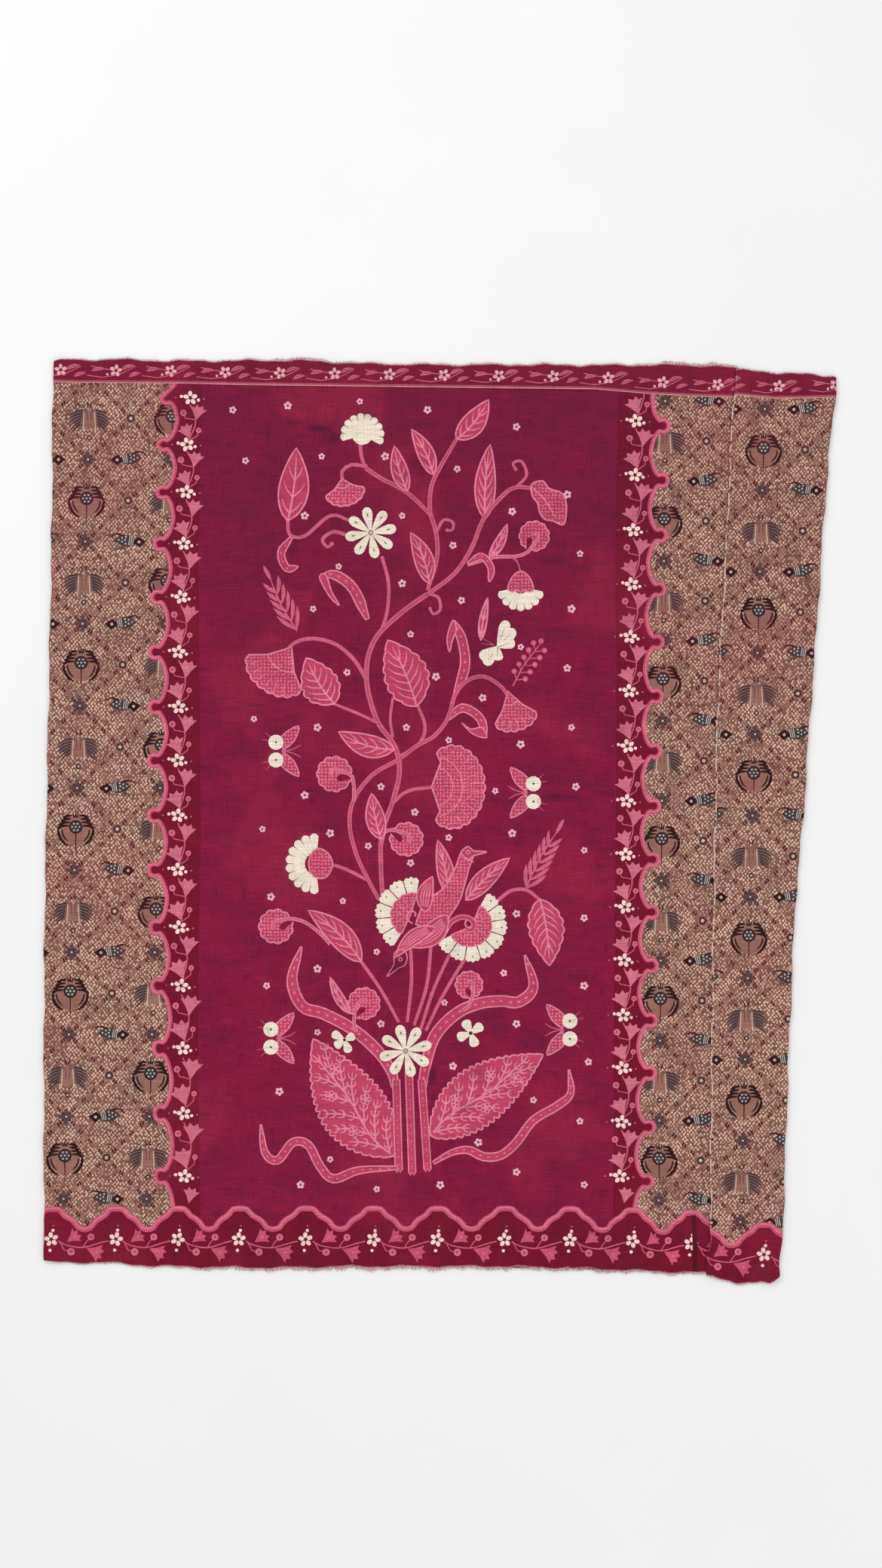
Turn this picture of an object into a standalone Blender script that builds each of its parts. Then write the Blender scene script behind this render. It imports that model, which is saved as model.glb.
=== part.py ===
"""Batik sarong laid flat: one length of cotton, its two ends lapped and sewn into a tube.

The tube lies on its back with the waist towards +Y and the seam to the right of
the front. Metres, +Z up, origin under the middle of the cloth. The cloth is one
wall wound in a C: lap, right fold, back, left fold and main front.
"""

import math
from typing import NamedTuple

import bmesh
import bpy

# Driving dimensions
WALL = 0.0012          # the cotton and the air that its crumple holds
LAYER_GAP = 0.0003     # between layers that lie on each other
LAP = 0.010            # how far the main front runs on under the lap
LAP_SLOPE = 0.018      # the lap climbs onto the main front over this width
FOLD_HEIGHT = 0.0052   # the rounded side folds stand this high
FOLD_REACH = 0.034     # and settle to the flat over this width
HEM_LEVEL = -0.530     # nominal height of the hem and waist, for reading SIDES
WAIST_LEVEL = 0.536

# Mesh spacing
ROWS = 22              # sections from hem to waist
FOLD_STEPS = 6         # faces round each side fold

BACK_LEVEL = WALL / 2
FRONT_LEVEL = BACK_LEVEL + WALL + LAYER_GAP


class Side(NamedTuple):
    """Where the folds and the seam lie across the cloth, at height y."""

    y: float
    left: float
    seam: float
    right: float


class Edge(NamedTuple):
    """The waist and hem at a place across a stretch, and how far the fringe stands past them."""

    place: float
    waist: float
    hem: float
    waist_fringe: float
    hem_fringe: float


class Swell(NamedTuple):
    """A low rise that the front never settles out of, turned in degrees."""

    x: float
    y: float
    half_length: float
    half_width: float
    turn: float
    height: float


class Fringe(NamedTuple):
    """A run of thread ends: the stretch it belongs to, and the columns of it that they start and end at."""

    name: str
    stretch: str
    at_waist: bool
    start: float
    end: float


SIDES = (
    Side(y=-0.526, left=-0.467, seam=0.314, right=0.401),
    Side(y=-0.500, left=-0.468, seam=0.318, right=0.404),
    Side(y=-0.260, left=-0.468, seam=0.320, right=0.412),
    Side(y=-0.099, left=-0.467, seam=0.322, right=0.419),
    Side(y=0.008, left=-0.465, seam=0.324, right=0.429),
    Side(y=0.114, left=-0.463, seam=0.326, right=0.436),
    Side(y=0.221, left=-0.461, seam=0.331, right=0.444),
    Side(y=0.328, left=-0.459, seam=0.337, right=0.451),
    Side(y=0.435, left=-0.458, seam=0.342, right=0.459),
    Side(y=0.490, left=-0.458, seam=0.345, right=0.466),
    Side(y=0.533, left=-0.457, seam=0.349, right=0.468),
)

EDGES = {
    # Left fold to seam
    "main": (
        Edge(place=0.00, waist=0.5410, hem=-0.5180, waist_fringe=0.001, hem_fringe=0.001),
        Edge(place=0.02, waist=0.5440, hem=-0.5215, waist_fringe=0.001, hem_fringe=0.001),
        Edge(place=0.10, waist=0.5445, hem=-0.5220, waist_fringe=0.002, hem_fringe=0.002),
        Edge(place=0.17, waist=0.5425, hem=-0.5260, waist_fringe=0.003, hem_fringe=0.003),
        Edge(place=0.27, waist=0.5430, hem=-0.5275, waist_fringe=0.002, hem_fringe=0.006),
        Edge(place=0.36, waist=0.5435, hem=-0.5280, waist_fringe=0.006, hem_fringe=0.007),
        Edge(place=0.45, waist=0.5395, hem=-0.5265, waist_fringe=0.002, hem_fringe=0.008),
        Edge(place=0.55, waist=0.5380, hem=-0.5265, waist_fringe=0.003, hem_fringe=0.008),
        Edge(place=0.69, waist=0.5380, hem=-0.5265, waist_fringe=0.003, hem_fringe=0.007),
        Edge(place=0.80, waist=0.5375, hem=-0.5285, waist_fringe=0.002, hem_fringe=0.007),
        Edge(place=0.90, waist=0.5380, hem=-0.5320, waist_fringe=0.006, hem_fringe=0.005),
        Edge(place=0.96, waist=0.5370, hem=-0.5335, waist_fringe=0.007, hem_fringe=0.005),
        Edge(place=1.00, waist=0.5325, hem=-0.5345, waist_fringe=0.003, hem_fringe=0.003),
    ),
    # Seam to right fold
    "lap": (
        Edge(place=0.00, waist=0.5320, hem=-0.5370, waist_fringe=0.001, hem_fringe=0.002),
        Edge(place=0.25, waist=0.5300, hem=-0.5430, waist_fringe=0.002, hem_fringe=0.003),
        Edge(place=0.50, waist=0.5280, hem=-0.5465, waist_fringe=0.002, hem_fringe=0.003),
        Edge(place=0.80, waist=0.5260, hem=-0.5450, waist_fringe=0.001, hem_fringe=0.002),
        Edge(place=0.93, waist=0.5245, hem=-0.5390, waist_fringe=0.001, hem_fringe=0.001),
        Edge(place=1.00, waist=0.5200, hem=-0.5310, waist_fringe=0.001, hem_fringe=0.001),
    ),
    # Right fold to left fold
    "back": (
        Edge(place=0.00, waist=0.5200, hem=-0.5310, waist_fringe=0.001, hem_fringe=0.001),
        Edge(place=0.10, waist=0.5230, hem=-0.5330, waist_fringe=0.002, hem_fringe=0.003),
        Edge(place=0.50, waist=0.5330, hem=-0.5240, waist_fringe=0.002, hem_fringe=0.003),
        Edge(place=0.90, waist=0.5400, hem=-0.5190, waist_fringe=0.002, hem_fringe=0.002),
        Edge(place=1.00, waist=0.5410, hem=-0.5180, waist_fringe=0.001, hem_fringe=0.001),
    ),
}

SWELLS = (
    Swell(x=0.160, y=0.300, half_length=0.110, half_width=0.040, turn=8, height=0.0030),
    Swell(x=0.140, y=0.030, half_length=0.090, half_width=0.036, turn=-4, height=0.0022),
    Swell(x=0.120, y=-0.260, half_length=0.100, half_width=0.040, turn=20, height=0.0030),
    Swell(x=-0.260, y=-0.262, half_length=0.080, half_width=0.038, turn=35, height=0.0025),
    Swell(x=-0.300, y=0.200, half_length=0.140, half_width=0.055, turn=80, height=0.0020),
    Swell(x=-0.020, y=0.420, half_length=0.170, half_width=0.045, turn=3, height=0.0022),
    Swell(x=0.020, y=-0.450, half_length=0.190, half_width=0.050, turn=-5, height=0.0025),
    Swell(x=0.380, y=0.130, half_length=0.110, half_width=0.040, turn=85, height=0.0018),
)

FRINGES = (
    Fringe(name="waist_fringe_main", stretch="main", at_waist=True, start=0.10, end=0.975),
    Fringe(name="hem_fringe_main", stretch="main", at_waist=False, start=0.10, end=0.975),
    Fringe(name="waist_fringe_lap", stretch="lap", at_waist=True, start=0.10, end=0.80),
    Fringe(name="hem_fringe_lap", stretch="lap", at_waist=False, start=0.10, end=0.93),
    Fringe(name="waist_fringe_back", stretch="back", at_waist=True, start=0.125, end=0.875),
    Fringe(name="hem_fringe_back", stretch="back", at_waist=False, start=0.125, end=0.875),
)

# Places across each stretch where the wall has a column of points
COLUMNS = {
    "lap": (0.0, 0.10, 0.20, 0.35, 0.50, 0.65, 0.80, 0.93),
    "back": tuple(step / 8 for step in range(9)),
    "main": (0.0, 0.02, 0.04, *(step / 20 for step in range(2, 20)), 0.975, 1.0),
}


def between(rows, value):
    """The table row at this value of its first column, in straight lines between the rows."""
    if value <= rows[0][0]:
        return rows[0]
    for low, high in zip(rows, rows[1:]):
        if value <= high[0]:
            share = (value - low[0]) / (high[0] - low[0])
            return type(low)(*(a + (b - a) * share for a, b in zip(low, high)))
    return rows[-1]


def eased(share):
    """0 to 1, level at both ends."""
    share = min(max(share, 0.0), 1.0)
    return share * share * (3 - 2 * share)


def swell_height(x, y):
    """How far the swells lift the front at a point."""
    total = 0.0
    for swell in SWELLS:
        turn = math.radians(swell.turn)
        along = ((x - swell.x) * math.cos(turn) + (y - swell.y) * math.sin(turn)) / swell.half_length
        across = ((y - swell.y) * math.cos(turn) - (x - swell.x) * math.sin(turn)) / swell.half_width
        total += swell.height * max(0.0, 1 - along * along - across * across) ** 2
    return total


def front_level(x, y, side):
    """The height of the front's middle surface: raised by swells and towards the side folds."""
    from_fold = min(x - side.left, side.right - x)
    fold_rise = FOLD_HEIGHT - WALL / 2 - FRONT_LEVEL
    settled = eased(from_fold / FOLD_REACH)
    return FRONT_LEVEL + fold_rise * (1 - settled) + swell_height(x, y) * settled


def wall_point(stretch, place, up):
    """A point of the wall's middle surface: a place across its stretch, and 0 at the hem to 1 at the waist."""
    side = between(SIDES, HEM_LEVEL + (WAIST_LEVEL - HEM_LEVEL) * up)
    edge = between(EDGES[stretch], place)
    y = edge.hem + (edge.waist - edge.hem) * up
    bend = (FOLD_HEIGHT - WALL) / 2
    if stretch == "back":
        start, end = side.right - bend, side.left + bend
        return start + (end - start) * place, y, BACK_LEVEL
    if stretch == "lap":
        start, end = side.seam, side.right - bend
        x = start + (end - start) * place
        climb = (WALL + 2 * LAYER_GAP) * (1 - eased((x - side.seam - LAP) / LAP_SLOPE))
        return x, y, front_level(x, y, side) + climb
    start, end = side.left + bend, side.seam + LAP
    x = start + (end - start) * place
    return x, y, front_level(x, y, side)


def fold_points(before, after, outward):
    """The half turn round a side fold, between the stretches' end points, bulging outward in x."""
    middle = (before[2] + after[2]) / 2
    radius = (before[2] - after[2]) / 2
    reach = (FOLD_HEIGHT - WALL) / 2 - WALL / 2
    points = []
    for step in range(1, FOLD_STEPS):
        angle = math.pi / 2 - math.pi * step / FOLD_STEPS
        share = step / FOLD_STEPS
        points.append((
            before[0] + outward * reach * math.cos(angle),
            before[1] + (after[1] - before[1]) * share,
            middle + radius * math.sin(angle),
        ))
    return points


def wall_section(up):
    """The middle line of the wound wall at one height, from the lap's edge round to the hidden end."""
    lap = [wall_point("lap", place, up) for place in COLUMNS["lap"]]
    lap.append(wall_point("lap", 1.0, up))
    back = [wall_point("back", place, up) for place in COLUMNS["back"]]
    main = [wall_point("main", place, up) for place in COLUMNS["main"]]
    right_fold = fold_points(lap[-1], back[0], outward=1)
    left_fold = fold_points(main[0], back[-1], outward=-1)
    return lap + right_fold + back + left_fold[::-1] + main


def fringe_section(fringe, place):
    """A short line from just off the cloth's edge to the thread tips."""
    edge = between(EDGES[fringe.stretch], place)
    up = 1.0 if fringe.at_waist else 0.0
    outward = 1 if fringe.at_waist else -1
    reach = edge.waist_fringe if fringe.at_waist else edge.hem_fringe
    x, y, z = wall_point(fringe.stretch, place, up)
    return [(x, y + outward * (LAYER_GAP + reach * share), z) for share in (0.0, 1.0)]


def solid_from_sections(name, sections, material, thickness):
    """Skins the sections into one sheet and gives it a thickness about its middle."""
    mesh = bpy.data.meshes.new(name)
    builder = bmesh.new()
    lines = [[builder.verts.new(point) for point in section] for section in sections]
    for low, high in zip(lines, lines[1:]):
        for index in range(len(low) - 1):
            builder.faces.new((low[index], low[index + 1], high[index + 1], high[index]))
    bmesh.ops.recalc_face_normals(builder, faces=builder.faces)
    builder.to_mesh(mesh)
    builder.free()
    mesh.shade_smooth()
    mesh.materials.append(material)
    obj = bpy.data.objects.new(name, mesh)
    bpy.context.scene.collection.objects.link(obj)
    wall = obj.modifiers.new("wall", "SOLIDIFY")
    wall.thickness = thickness
    wall.offset = 0.0
    wall.use_even_offset = True
    return obj


def cloth_material(name, colour, roughness):
    """A plain dyed cotton finish."""
    material = bpy.data.materials.new(name)
    material.use_nodes = True
    shader = material.node_tree.nodes["Principled BSDF"]
    shader.inputs["Base Color"].default_value = (*colour, 1.0)
    shader.inputs["Roughness"].default_value = roughness
    shader.inputs["Metallic"].default_value = 0.0
    return material


def build_cloth():
    """The one length of cotton, wound into its flat tube."""
    cotton = cloth_material("batik_cotton", (0.20, 0.018, 0.06), 0.85)
    sections = [wall_section(row / (ROWS - 1)) for row in range(ROWS)]
    solid_from_sections("sarong_cloth", sections, cotton, WALL)


def build_fringes():
    """The thread ends past the waist and hem, as thin solids of their reach."""
    threads = cloth_material("thread_ends", (0.62, 0.30, 0.34), 0.9)
    for fringe in FRINGES:
        places = [place for place in COLUMNS[fringe.stretch] if fringe.start <= place <= fringe.end]
        sections = [fringe_section(fringe, place) for place in places]
        solid_from_sections(fringe.name, sections, threads, WALL)


def main():
    for obj in list(bpy.data.objects):
        bpy.data.objects.remove(obj, do_unlink=True)
    build_cloth()
    build_fringes()


main()
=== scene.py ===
"""The looks of a batik sarong laid flat: its drawn and dyed cotton, stitched seam and fringed edges.

Laid out as an add-on and run as a script. The cloth's drawing is made in the flat, in centimetres,
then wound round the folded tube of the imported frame.
"""

import cmath
import math
import random
from typing import NamedTuple

import bmesh
import bpy
import numpy as np
from bpy.props import FloatProperty, FloatVectorProperty, PointerProperty
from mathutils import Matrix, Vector
from mathutils.geometry import delaunay_2d_cdt


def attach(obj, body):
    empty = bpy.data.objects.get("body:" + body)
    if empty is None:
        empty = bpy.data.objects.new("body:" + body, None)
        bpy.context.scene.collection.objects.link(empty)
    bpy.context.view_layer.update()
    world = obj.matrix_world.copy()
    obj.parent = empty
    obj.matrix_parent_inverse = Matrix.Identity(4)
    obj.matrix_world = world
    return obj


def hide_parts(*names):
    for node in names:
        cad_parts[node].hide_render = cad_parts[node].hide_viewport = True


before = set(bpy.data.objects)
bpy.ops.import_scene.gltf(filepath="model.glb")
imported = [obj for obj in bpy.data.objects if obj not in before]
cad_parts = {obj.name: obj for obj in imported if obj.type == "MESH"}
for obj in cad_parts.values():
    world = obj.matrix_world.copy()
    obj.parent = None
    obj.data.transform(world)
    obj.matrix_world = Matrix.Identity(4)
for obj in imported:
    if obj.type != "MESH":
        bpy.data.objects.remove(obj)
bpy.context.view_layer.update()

bl_info = {
    "name": "Batik sarong",
    "version": (1, 0, 0),
    "blender": (4, 5, 0),
    "location": "View3D > Sidebar > Sarong",
    "description": "Draws, dyes and lays a tube of batik cotton on its packed frame",
    "category": "Object",
}

# ------------------------------------------------------------------ how the tube lies, in metres

WALL = 0.0012
LAYER_GAP = 0.0003
LAP = 0.010
LAP_SLOPE = 0.018
FOLD_HEIGHT = 0.0052
FOLD_REACH = 0.034
BACK_LEVEL = 0.0003      # the thin cloth lies low in the frame's back wall
FRONT_LEVEL = 0.0021
FOLD_TOP = FOLD_HEIGHT - WALL / 2
FOLD_RADIUS = (FOLD_TOP - BACK_LEVEL) / 2
FOLD_SETBACK = 0.0020    # from a fold's outermost line to where the cloth lies flat


class Side(NamedTuple):
    """Where the folds and the seam lie across the cloth, at height y."""

    y: float
    left: float
    seam: float
    right: float


class Edge(NamedTuple):
    """The waist and hem at a place across a stretch, and how far the fringe stands past them."""

    place: float
    waist: float
    hem: float
    waist_fringe: float
    hem_fringe: float


class Rise(NamedTuple):
    """A swell or crease in the front, turned in degrees. A trough has a negative height."""

    x: float
    y: float
    half_length: float
    half_width: float
    turn: float
    height: float


SIDES = (
    Side(-0.526, -0.467, 0.314, 0.401),
    Side(-0.500, -0.468, 0.318, 0.404),
    Side(-0.260, -0.468, 0.320, 0.412),
    Side(-0.099, -0.467, 0.322, 0.419),
    Side(0.008, -0.465, 0.324, 0.429),
    Side(0.114, -0.463, 0.326, 0.436),
    Side(0.221, -0.461, 0.331, 0.444),
    Side(0.328, -0.459, 0.337, 0.451),
    Side(0.435, -0.458, 0.342, 0.459),
    Side(0.490, -0.458, 0.345, 0.466),
    Side(0.533, -0.457, 0.349, 0.468),
)

EDGES = {
    # Left fold to seam
    "main": (
        Edge(0.00, 0.5410, -0.5180, 0.001, 0.001),
        Edge(0.02, 0.5440, -0.5215, 0.001, 0.001),
        Edge(0.10, 0.5445, -0.5220, 0.002, 0.002),
        Edge(0.17, 0.5425, -0.5260, 0.003, 0.003),
        Edge(0.27, 0.5430, -0.5275, 0.002, 0.006),
        Edge(0.36, 0.5435, -0.5280, 0.006, 0.007),
        Edge(0.45, 0.5395, -0.5265, 0.002, 0.008),
        Edge(0.55, 0.5380, -0.5265, 0.003, 0.008),
        Edge(0.69, 0.5380, -0.5265, 0.003, 0.007),
        Edge(0.80, 0.5375, -0.5285, 0.002, 0.007),
        Edge(0.90, 0.5380, -0.5320, 0.006, 0.005),
        Edge(0.96, 0.5370, -0.5335, 0.007, 0.005),
        Edge(1.00, 0.5325, -0.5345, 0.003, 0.003),
    ),
    # Seam to right fold
    "lap": (
        Edge(0.00, 0.5320, -0.5370, 0.001, 0.002),
        Edge(0.25, 0.5300, -0.5430, 0.002, 0.003),
        Edge(0.50, 0.5280, -0.5465, 0.002, 0.003),
        Edge(0.80, 0.5260, -0.5450, 0.001, 0.002),
        Edge(0.93, 0.5245, -0.5390, 0.001, 0.001),
        Edge(1.00, 0.5200, -0.5310, 0.001, 0.001),
    ),
    # Right fold to left fold
    "back": (
        Edge(0.00, 0.5200, -0.5310, 0.001, 0.001),
        Edge(0.10, 0.5230, -0.5330, 0.002, 0.003),
        Edge(0.50, 0.5330, -0.5240, 0.002, 0.003),
        Edge(0.90, 0.5400, -0.5190, 0.002, 0.002),
        Edge(1.00, 0.5410, -0.5180, 0.001, 0.001),
    ),
}

WAVES = {"main": (23, 57), "lap": (4, 9), "back": (21, 55)}  # half waves along each stretch's cut edges

SWELLS = (
    Rise(0.160, 0.300, 0.110, 0.040, 8, 0.0030),
    Rise(0.140, 0.030, 0.090, 0.036, -4, 0.0022),
    Rise(0.120, -0.260, 0.100, 0.040, 20, 0.0030),
    Rise(-0.260, -0.262, 0.080, 0.038, 35, 0.0025),
    Rise(-0.300, 0.200, 0.140, 0.055, 80, 0.0020),
    Rise(-0.020, 0.420, 0.170, 0.045, 3, 0.0022),
    Rise(0.020, -0.450, 0.190, 0.050, -5, 0.0025),
    Rise(0.380, 0.130, 0.110, 0.040, 85, 0.0018),
)

# Soft creases left from storing and from the last fold, placed one by one
CREASES = (
    Rise(0.165, 0.306, 0.085, 0.009, 6, -0.0016),
    Rise(0.150, 0.330, 0.060, 0.010, -5, 0.0012),
    Rise(0.135, 0.031, 0.060, 0.008, -3, -0.0015),
    Rise(0.175, 0.012, 0.045, 0.009, 10, 0.0010),
    Rise(0.120, -0.255, 0.055, 0.009, 24, -0.0016),
    Rise(0.095, -0.285, 0.040, 0.010, 8, 0.0011),
    Rise(-0.262, -0.262, 0.045, 0.008, 38, -0.0014),
    Rise(-0.215, -0.230, 0.030, 0.008, 60, 0.0009),
    Rise(-0.120, 0.455, 0.120, 0.010, 2, -0.0010),
    Rise(0.060, 0.440, 0.090, 0.009, -6, 0.0009),
    Rise(-0.360, 0.360, 0.110, 0.010, 84, -0.0010),
    Rise(-0.405, -0.060, 0.140, 0.010, 88, 0.0009),
    Rise(-0.350, -0.330, 0.100, 0.011, 96, -0.0011),
    Rise(0.010, 0.150, 0.130, 0.012, 4, 0.0008),
    Rise(-0.070, -0.110, 0.110, 0.011, -8, -0.0008),
    Rise(0.260, -0.120, 0.120, 0.011, 82, 0.0010),
    Rise(0.385, 0.260, 0.110, 0.009, 93, -0.0012),
    Rise(0.375, -0.190, 0.130, 0.009, 98, -0.0011),
    Rise(0.395, -0.400, 0.070, 0.009, 75, 0.0010),
    Rise(-0.130, -0.500, 0.110, 0.009, -4, 0.0012),
    Rise(0.110, -0.490, 0.090, 0.009, 5, -0.0010),
    Rise(0.230, 0.490, 0.070, 0.008, -12, -0.0012),
    Rise(-0.300, 0.500, 0.090, 0.009, 4, 0.0010),
    Rise(-0.010, -0.350, 0.150, 0.013, 2, 0.0007),
)

SIDE_TABLE = np.array(SIDES)


def side_line(name, y):
    """The x of a fold or the seam at height y, with the slight waver of old cloth."""
    waver = 0.0008 * np.sin(np.multiply(y, 52)) + 0.0005 * np.sin(np.multiply(y, 139) + 1)
    return np.interp(y, SIDE_TABLE[:, 0], SIDE_TABLE[:, Side._fields.index(name)]) + waver


def edge_value(stretch, name, place):
    """A column of a stretch's edge table at a place across it."""
    table = np.array(EDGES[stretch])
    value = np.interp(place, table[:, 0], table[:, Edge._fields.index(name)])
    if name.endswith("fringe"):
        return value
    # Whole waves, so that neighbouring stretches still meet at their ends
    slow, quick = WAVES[stretch]
    return value + 0.0011 * np.sin(math.pi * slow * place) + 0.0006 * np.sin(math.pi * quick * place)


def eased(share):
    """0 to 1, level at both ends."""
    share = np.clip(share, 0.0, 1.0)
    return share * share * (3 - 2 * share)


def risen(x, y, rises):
    """How far a table of swells or creases lifts the front at each point."""
    total = np.zeros_like(x)
    for rise in rises:
        turn = math.radians(rise.turn)
        along = ((x - rise.x) * math.cos(turn) + (y - rise.y) * math.sin(turn)) / rise.half_length
        across = ((y - rise.y) * math.cos(turn) - (x - rise.x) * math.sin(turn)) / rise.half_width
        total += rise.height * np.maximum(0.0, 1 - along**2 - across**2) ** 2
    return total


def front_height(x, y):
    """The front's height over the surface it lies on."""
    from_fold = np.minimum(x - side_line("left", y), side_line("right", y) - x)
    settled = eased(from_fold / FOLD_REACH)
    crumple = risen(x, y, SWELLS) + risen(x, y, CREASES) * sizes().crease_depth
    return FRONT_LEVEL + (FOLD_TOP - FRONT_LEVEL) * (1 - settled) + crumple * settled


def wound(u, y, start, outward, flat_height):
    """Points of cloth in space: u runs across the flat, then on round a side fold past start.

    outward is 1 at the right fold and -1 at the left one.
    """
    past = np.maximum(0.0, (u - start) * outward)
    turn = np.minimum(past / FOLD_RADIUS, math.pi)
    middle = (FOLD_TOP + BACK_LEVEL) / 2
    x = np.where(past > 0, start + outward * FOLD_SETBACK * 0.95 * np.sin(turn), u)
    z = np.where(past > 0, middle + FOLD_RADIUS * np.cos(turn), flat_height)
    return np.column_stack([x, y, z])


def lay_main(u, y):
    """The front from its left fold to under the lap."""
    start = side_line("left", y) + FOLD_SETBACK
    return wound(u, y, start, -1, front_height(np.maximum(u, start), y))


def lay_lap(u, y):
    """The front from the seam to its right fold, on top of the main stretch beside the seam."""
    start = side_line("right", y) - FOLD_SETBACK
    climb = (WALL + 2 * LAYER_GAP) * (1 - eased((u - side_line("seam", y) - LAP) / LAP_SLOPE))
    return wound(u, y, start, 1, front_height(np.minimum(u, start), y) + climb)


def lay_back(u, y):
    """The back is drawn as seen from under it, so its u runs the other way."""
    return np.column_stack([-u, y, np.full_like(u, BACK_LEVEL)])


LAYS = {"main": lay_main, "lap": lay_lap, "back": lay_back}


def stretch_ends(stretch, y):
    """The u of a stretch's two ends at height y, in the order that its edge table runs."""
    half_turn = math.pi * FOLD_RADIUS
    if stretch == "main":
        return side_line("left", y) + FOLD_SETBACK - half_turn, side_line("seam", y) + LAP
    if stretch == "lap":
        return side_line("seam", y), side_line("right", y) - FOLD_SETBACK + half_turn
    return FOLD_SETBACK - side_line("right", y), -side_line("left", y) - FOLD_SETBACK


def edge_point(stretch, edge, place):
    """The flat position, u and y, of a place along a stretch's hem or waist."""
    y = edge_value(stretch, edge, place)
    start, end = stretch_ends(stretch, y)
    return start + (end - start) * place, y


def stretch_outline(stretch, steps=60, rows=90):
    """The loop of a stretch's cut edge in the flat: hem, far end, waist, near end."""
    place = np.linspace(0.0, 1.0, steps)
    hem = np.array(edge_point(stretch, "hem", place)).T
    waist = np.array(edge_point(stretch, "waist", place)).T
    far_y = np.linspace(hem[-1, 1], waist[-1, 1], rows)[1:-1]
    near_y = np.linspace(hem[0, 1], waist[0, 1], rows)[1:-1]
    far = np.column_stack([stretch_ends(stretch, far_y)[1], far_y])
    near = np.column_stack([stretch_ends(stretch, near_y)[0], near_y])
    loop = np.concatenate([hem, far, waist[::-1], near[::-1]])
    return loop[:, 0] + 1j * loop[:, 1]


# ------------------------------------------------------------------ drawing in the flat, in centimetres


def at(points):
    """Rows of (x, y) as complex numbers, which is how the drawing holds its points."""
    return np.array([complex(*point) for point in points])


def curve(points, spacing=0.5, closed=False):
    """A smooth line through the points."""
    knots = np.asarray(points, complex)
    count = len(knots)
    if count < 3:
        return knots
    if closed:
        padded = np.concatenate([knots[-1:], knots, knots[:2]])
    else:
        padded = np.concatenate([[2 * knots[0] - knots[1]], knots, [2 * knots[-1] - knots[-2]]])
    line = []
    for a, b, c, d in zip(padded, padded[1:], padded[2:], padded[3:]):
        steps = max(1, math.ceil(abs(c - b) / spacing))
        t = np.arange(steps) / steps
        line.append(b + ((c - a) * t + (2 * a - 5 * b + 4 * c - d) * t**2
                         + (3 * b - a - 3 * c + d) * t**3) / 2)
    if not closed:
        line.append(knots[-1:])
    return np.concatenate(line)


def beside(path):
    """At each point of a path, the unit step to its left."""
    ahead = np.gradient(path)
    return 1j * ahead / abs(ahead)


def out_and_back(path, step):
    """A loop up one side of a path and down the other, a step away from it."""
    return np.concatenate([path + step, (path - step)[::-1]])


def ribbon(path, width, start=1.0, end=1.0, closed=False):
    """The outline of a stroke of this width along a path; start and end are shares of the width there."""
    ahead = np.roll(path, -1) - np.roll(path, 1) if closed else np.gradient(path)
    side = 1j * ahead / np.maximum(abs(ahead), 1e-9)
    share = np.linspace(0, 1, len(path))
    half = width / 2 * np.interp(share, (0, 0.3, 0.7, 1), (start, 1, 1, end))
    left, right = path + side * half, path - side * half
    if closed:
        left, right = np.append(left, left[0]), np.append(right, right[0])
    return np.concatenate([left, right[::-1]])


def ring(centre, radius, sides, squash=1.0, turn=0.0):
    """A circle or ellipse of points."""
    angle = 2 * math.pi * np.arange(sides) / sides
    return centre + radius * (np.cos(angle) + 1j * squash * np.sin(angle)) * cmath.rect(1, turn)


def winds_round(loop, points):
    """Which points the loop winds round."""
    start, end = loop, np.roll(loop, -1)
    x, y = points.real[:, None], points.imag[:, None]
    rising = (start.imag <= y) & (end.imag > y)
    falling = (start.imag > y) & (end.imag <= y)
    side = (end.real - start.real) * (y - start.imag) - (x - start.real) * (end.imag - start.imag)
    return (rising & (side > 0)).sum(1) != (falling & (side < 0)).sum(1)


class Drawing:
    """Shapes in the order that they are waxed and dyed, each over the ones before it."""

    def __init__(self, fine=True):
        self.shapes = []
        self.fine = fine

    def fill(self, points, dye):
        self.shapes.append((np.asarray(points, complex), dye))

    def line(self, points, width, dye, start=1.0, end=1.0, spacing=0.5, closed=False):
        path = curve(points, spacing, closed)
        self.fill(ribbon(path, width, start, end, closed), dye)

    def dot(self, centre, radius, dye, sides=8, squash=1.0, turn=0.0):
        self.fill(ring(centre, radius, sides, squash, turn), dye)

    def waxed(self, points, dye, edge_dye, edge=0.2):
        """A shape with its wax outline kept pale."""
        loop = np.asarray(points, complex)
        ahead = np.roll(loop, -1) - np.roll(loop, 1)
        area = (loop.conjugate() * np.roll(loop, -1)).imag.sum()
        inward = 1j * ahead / np.maximum(abs(ahead), 1e-9) * math.copysign(edge / 2, area)
        self.fill(loop - inward, edge_dye)
        self.fill(loop + inward, dye)


# ------------------------------------------------------------------ the figures


def leaf_edge(base, tip, width, bend, teeth, steps=13):
    """Both sides of a leaf from base to tip, and its curved middle line."""
    share = np.linspace(0, 1, steps)
    reach = tip - base
    middle = share + 1j * bend * 4 * share * (1 - share)
    half = width / abs(reach) / 2 * np.sin(math.pi * share**0.8) ** 0.85
    if teeth:
        half = half * (1 + 0.13 * abs(np.sin(math.pi * teeth * share)) - 0.06)
    return base + (middle + 1j * half) * reach, base + (middle - 1j * half) * reach, base + middle * reach


def blade(upper, lower):
    """The loop of a leaf from its two sides, which share their first and last points."""
    return np.concatenate([upper, lower[-2:0:-1]])


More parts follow.
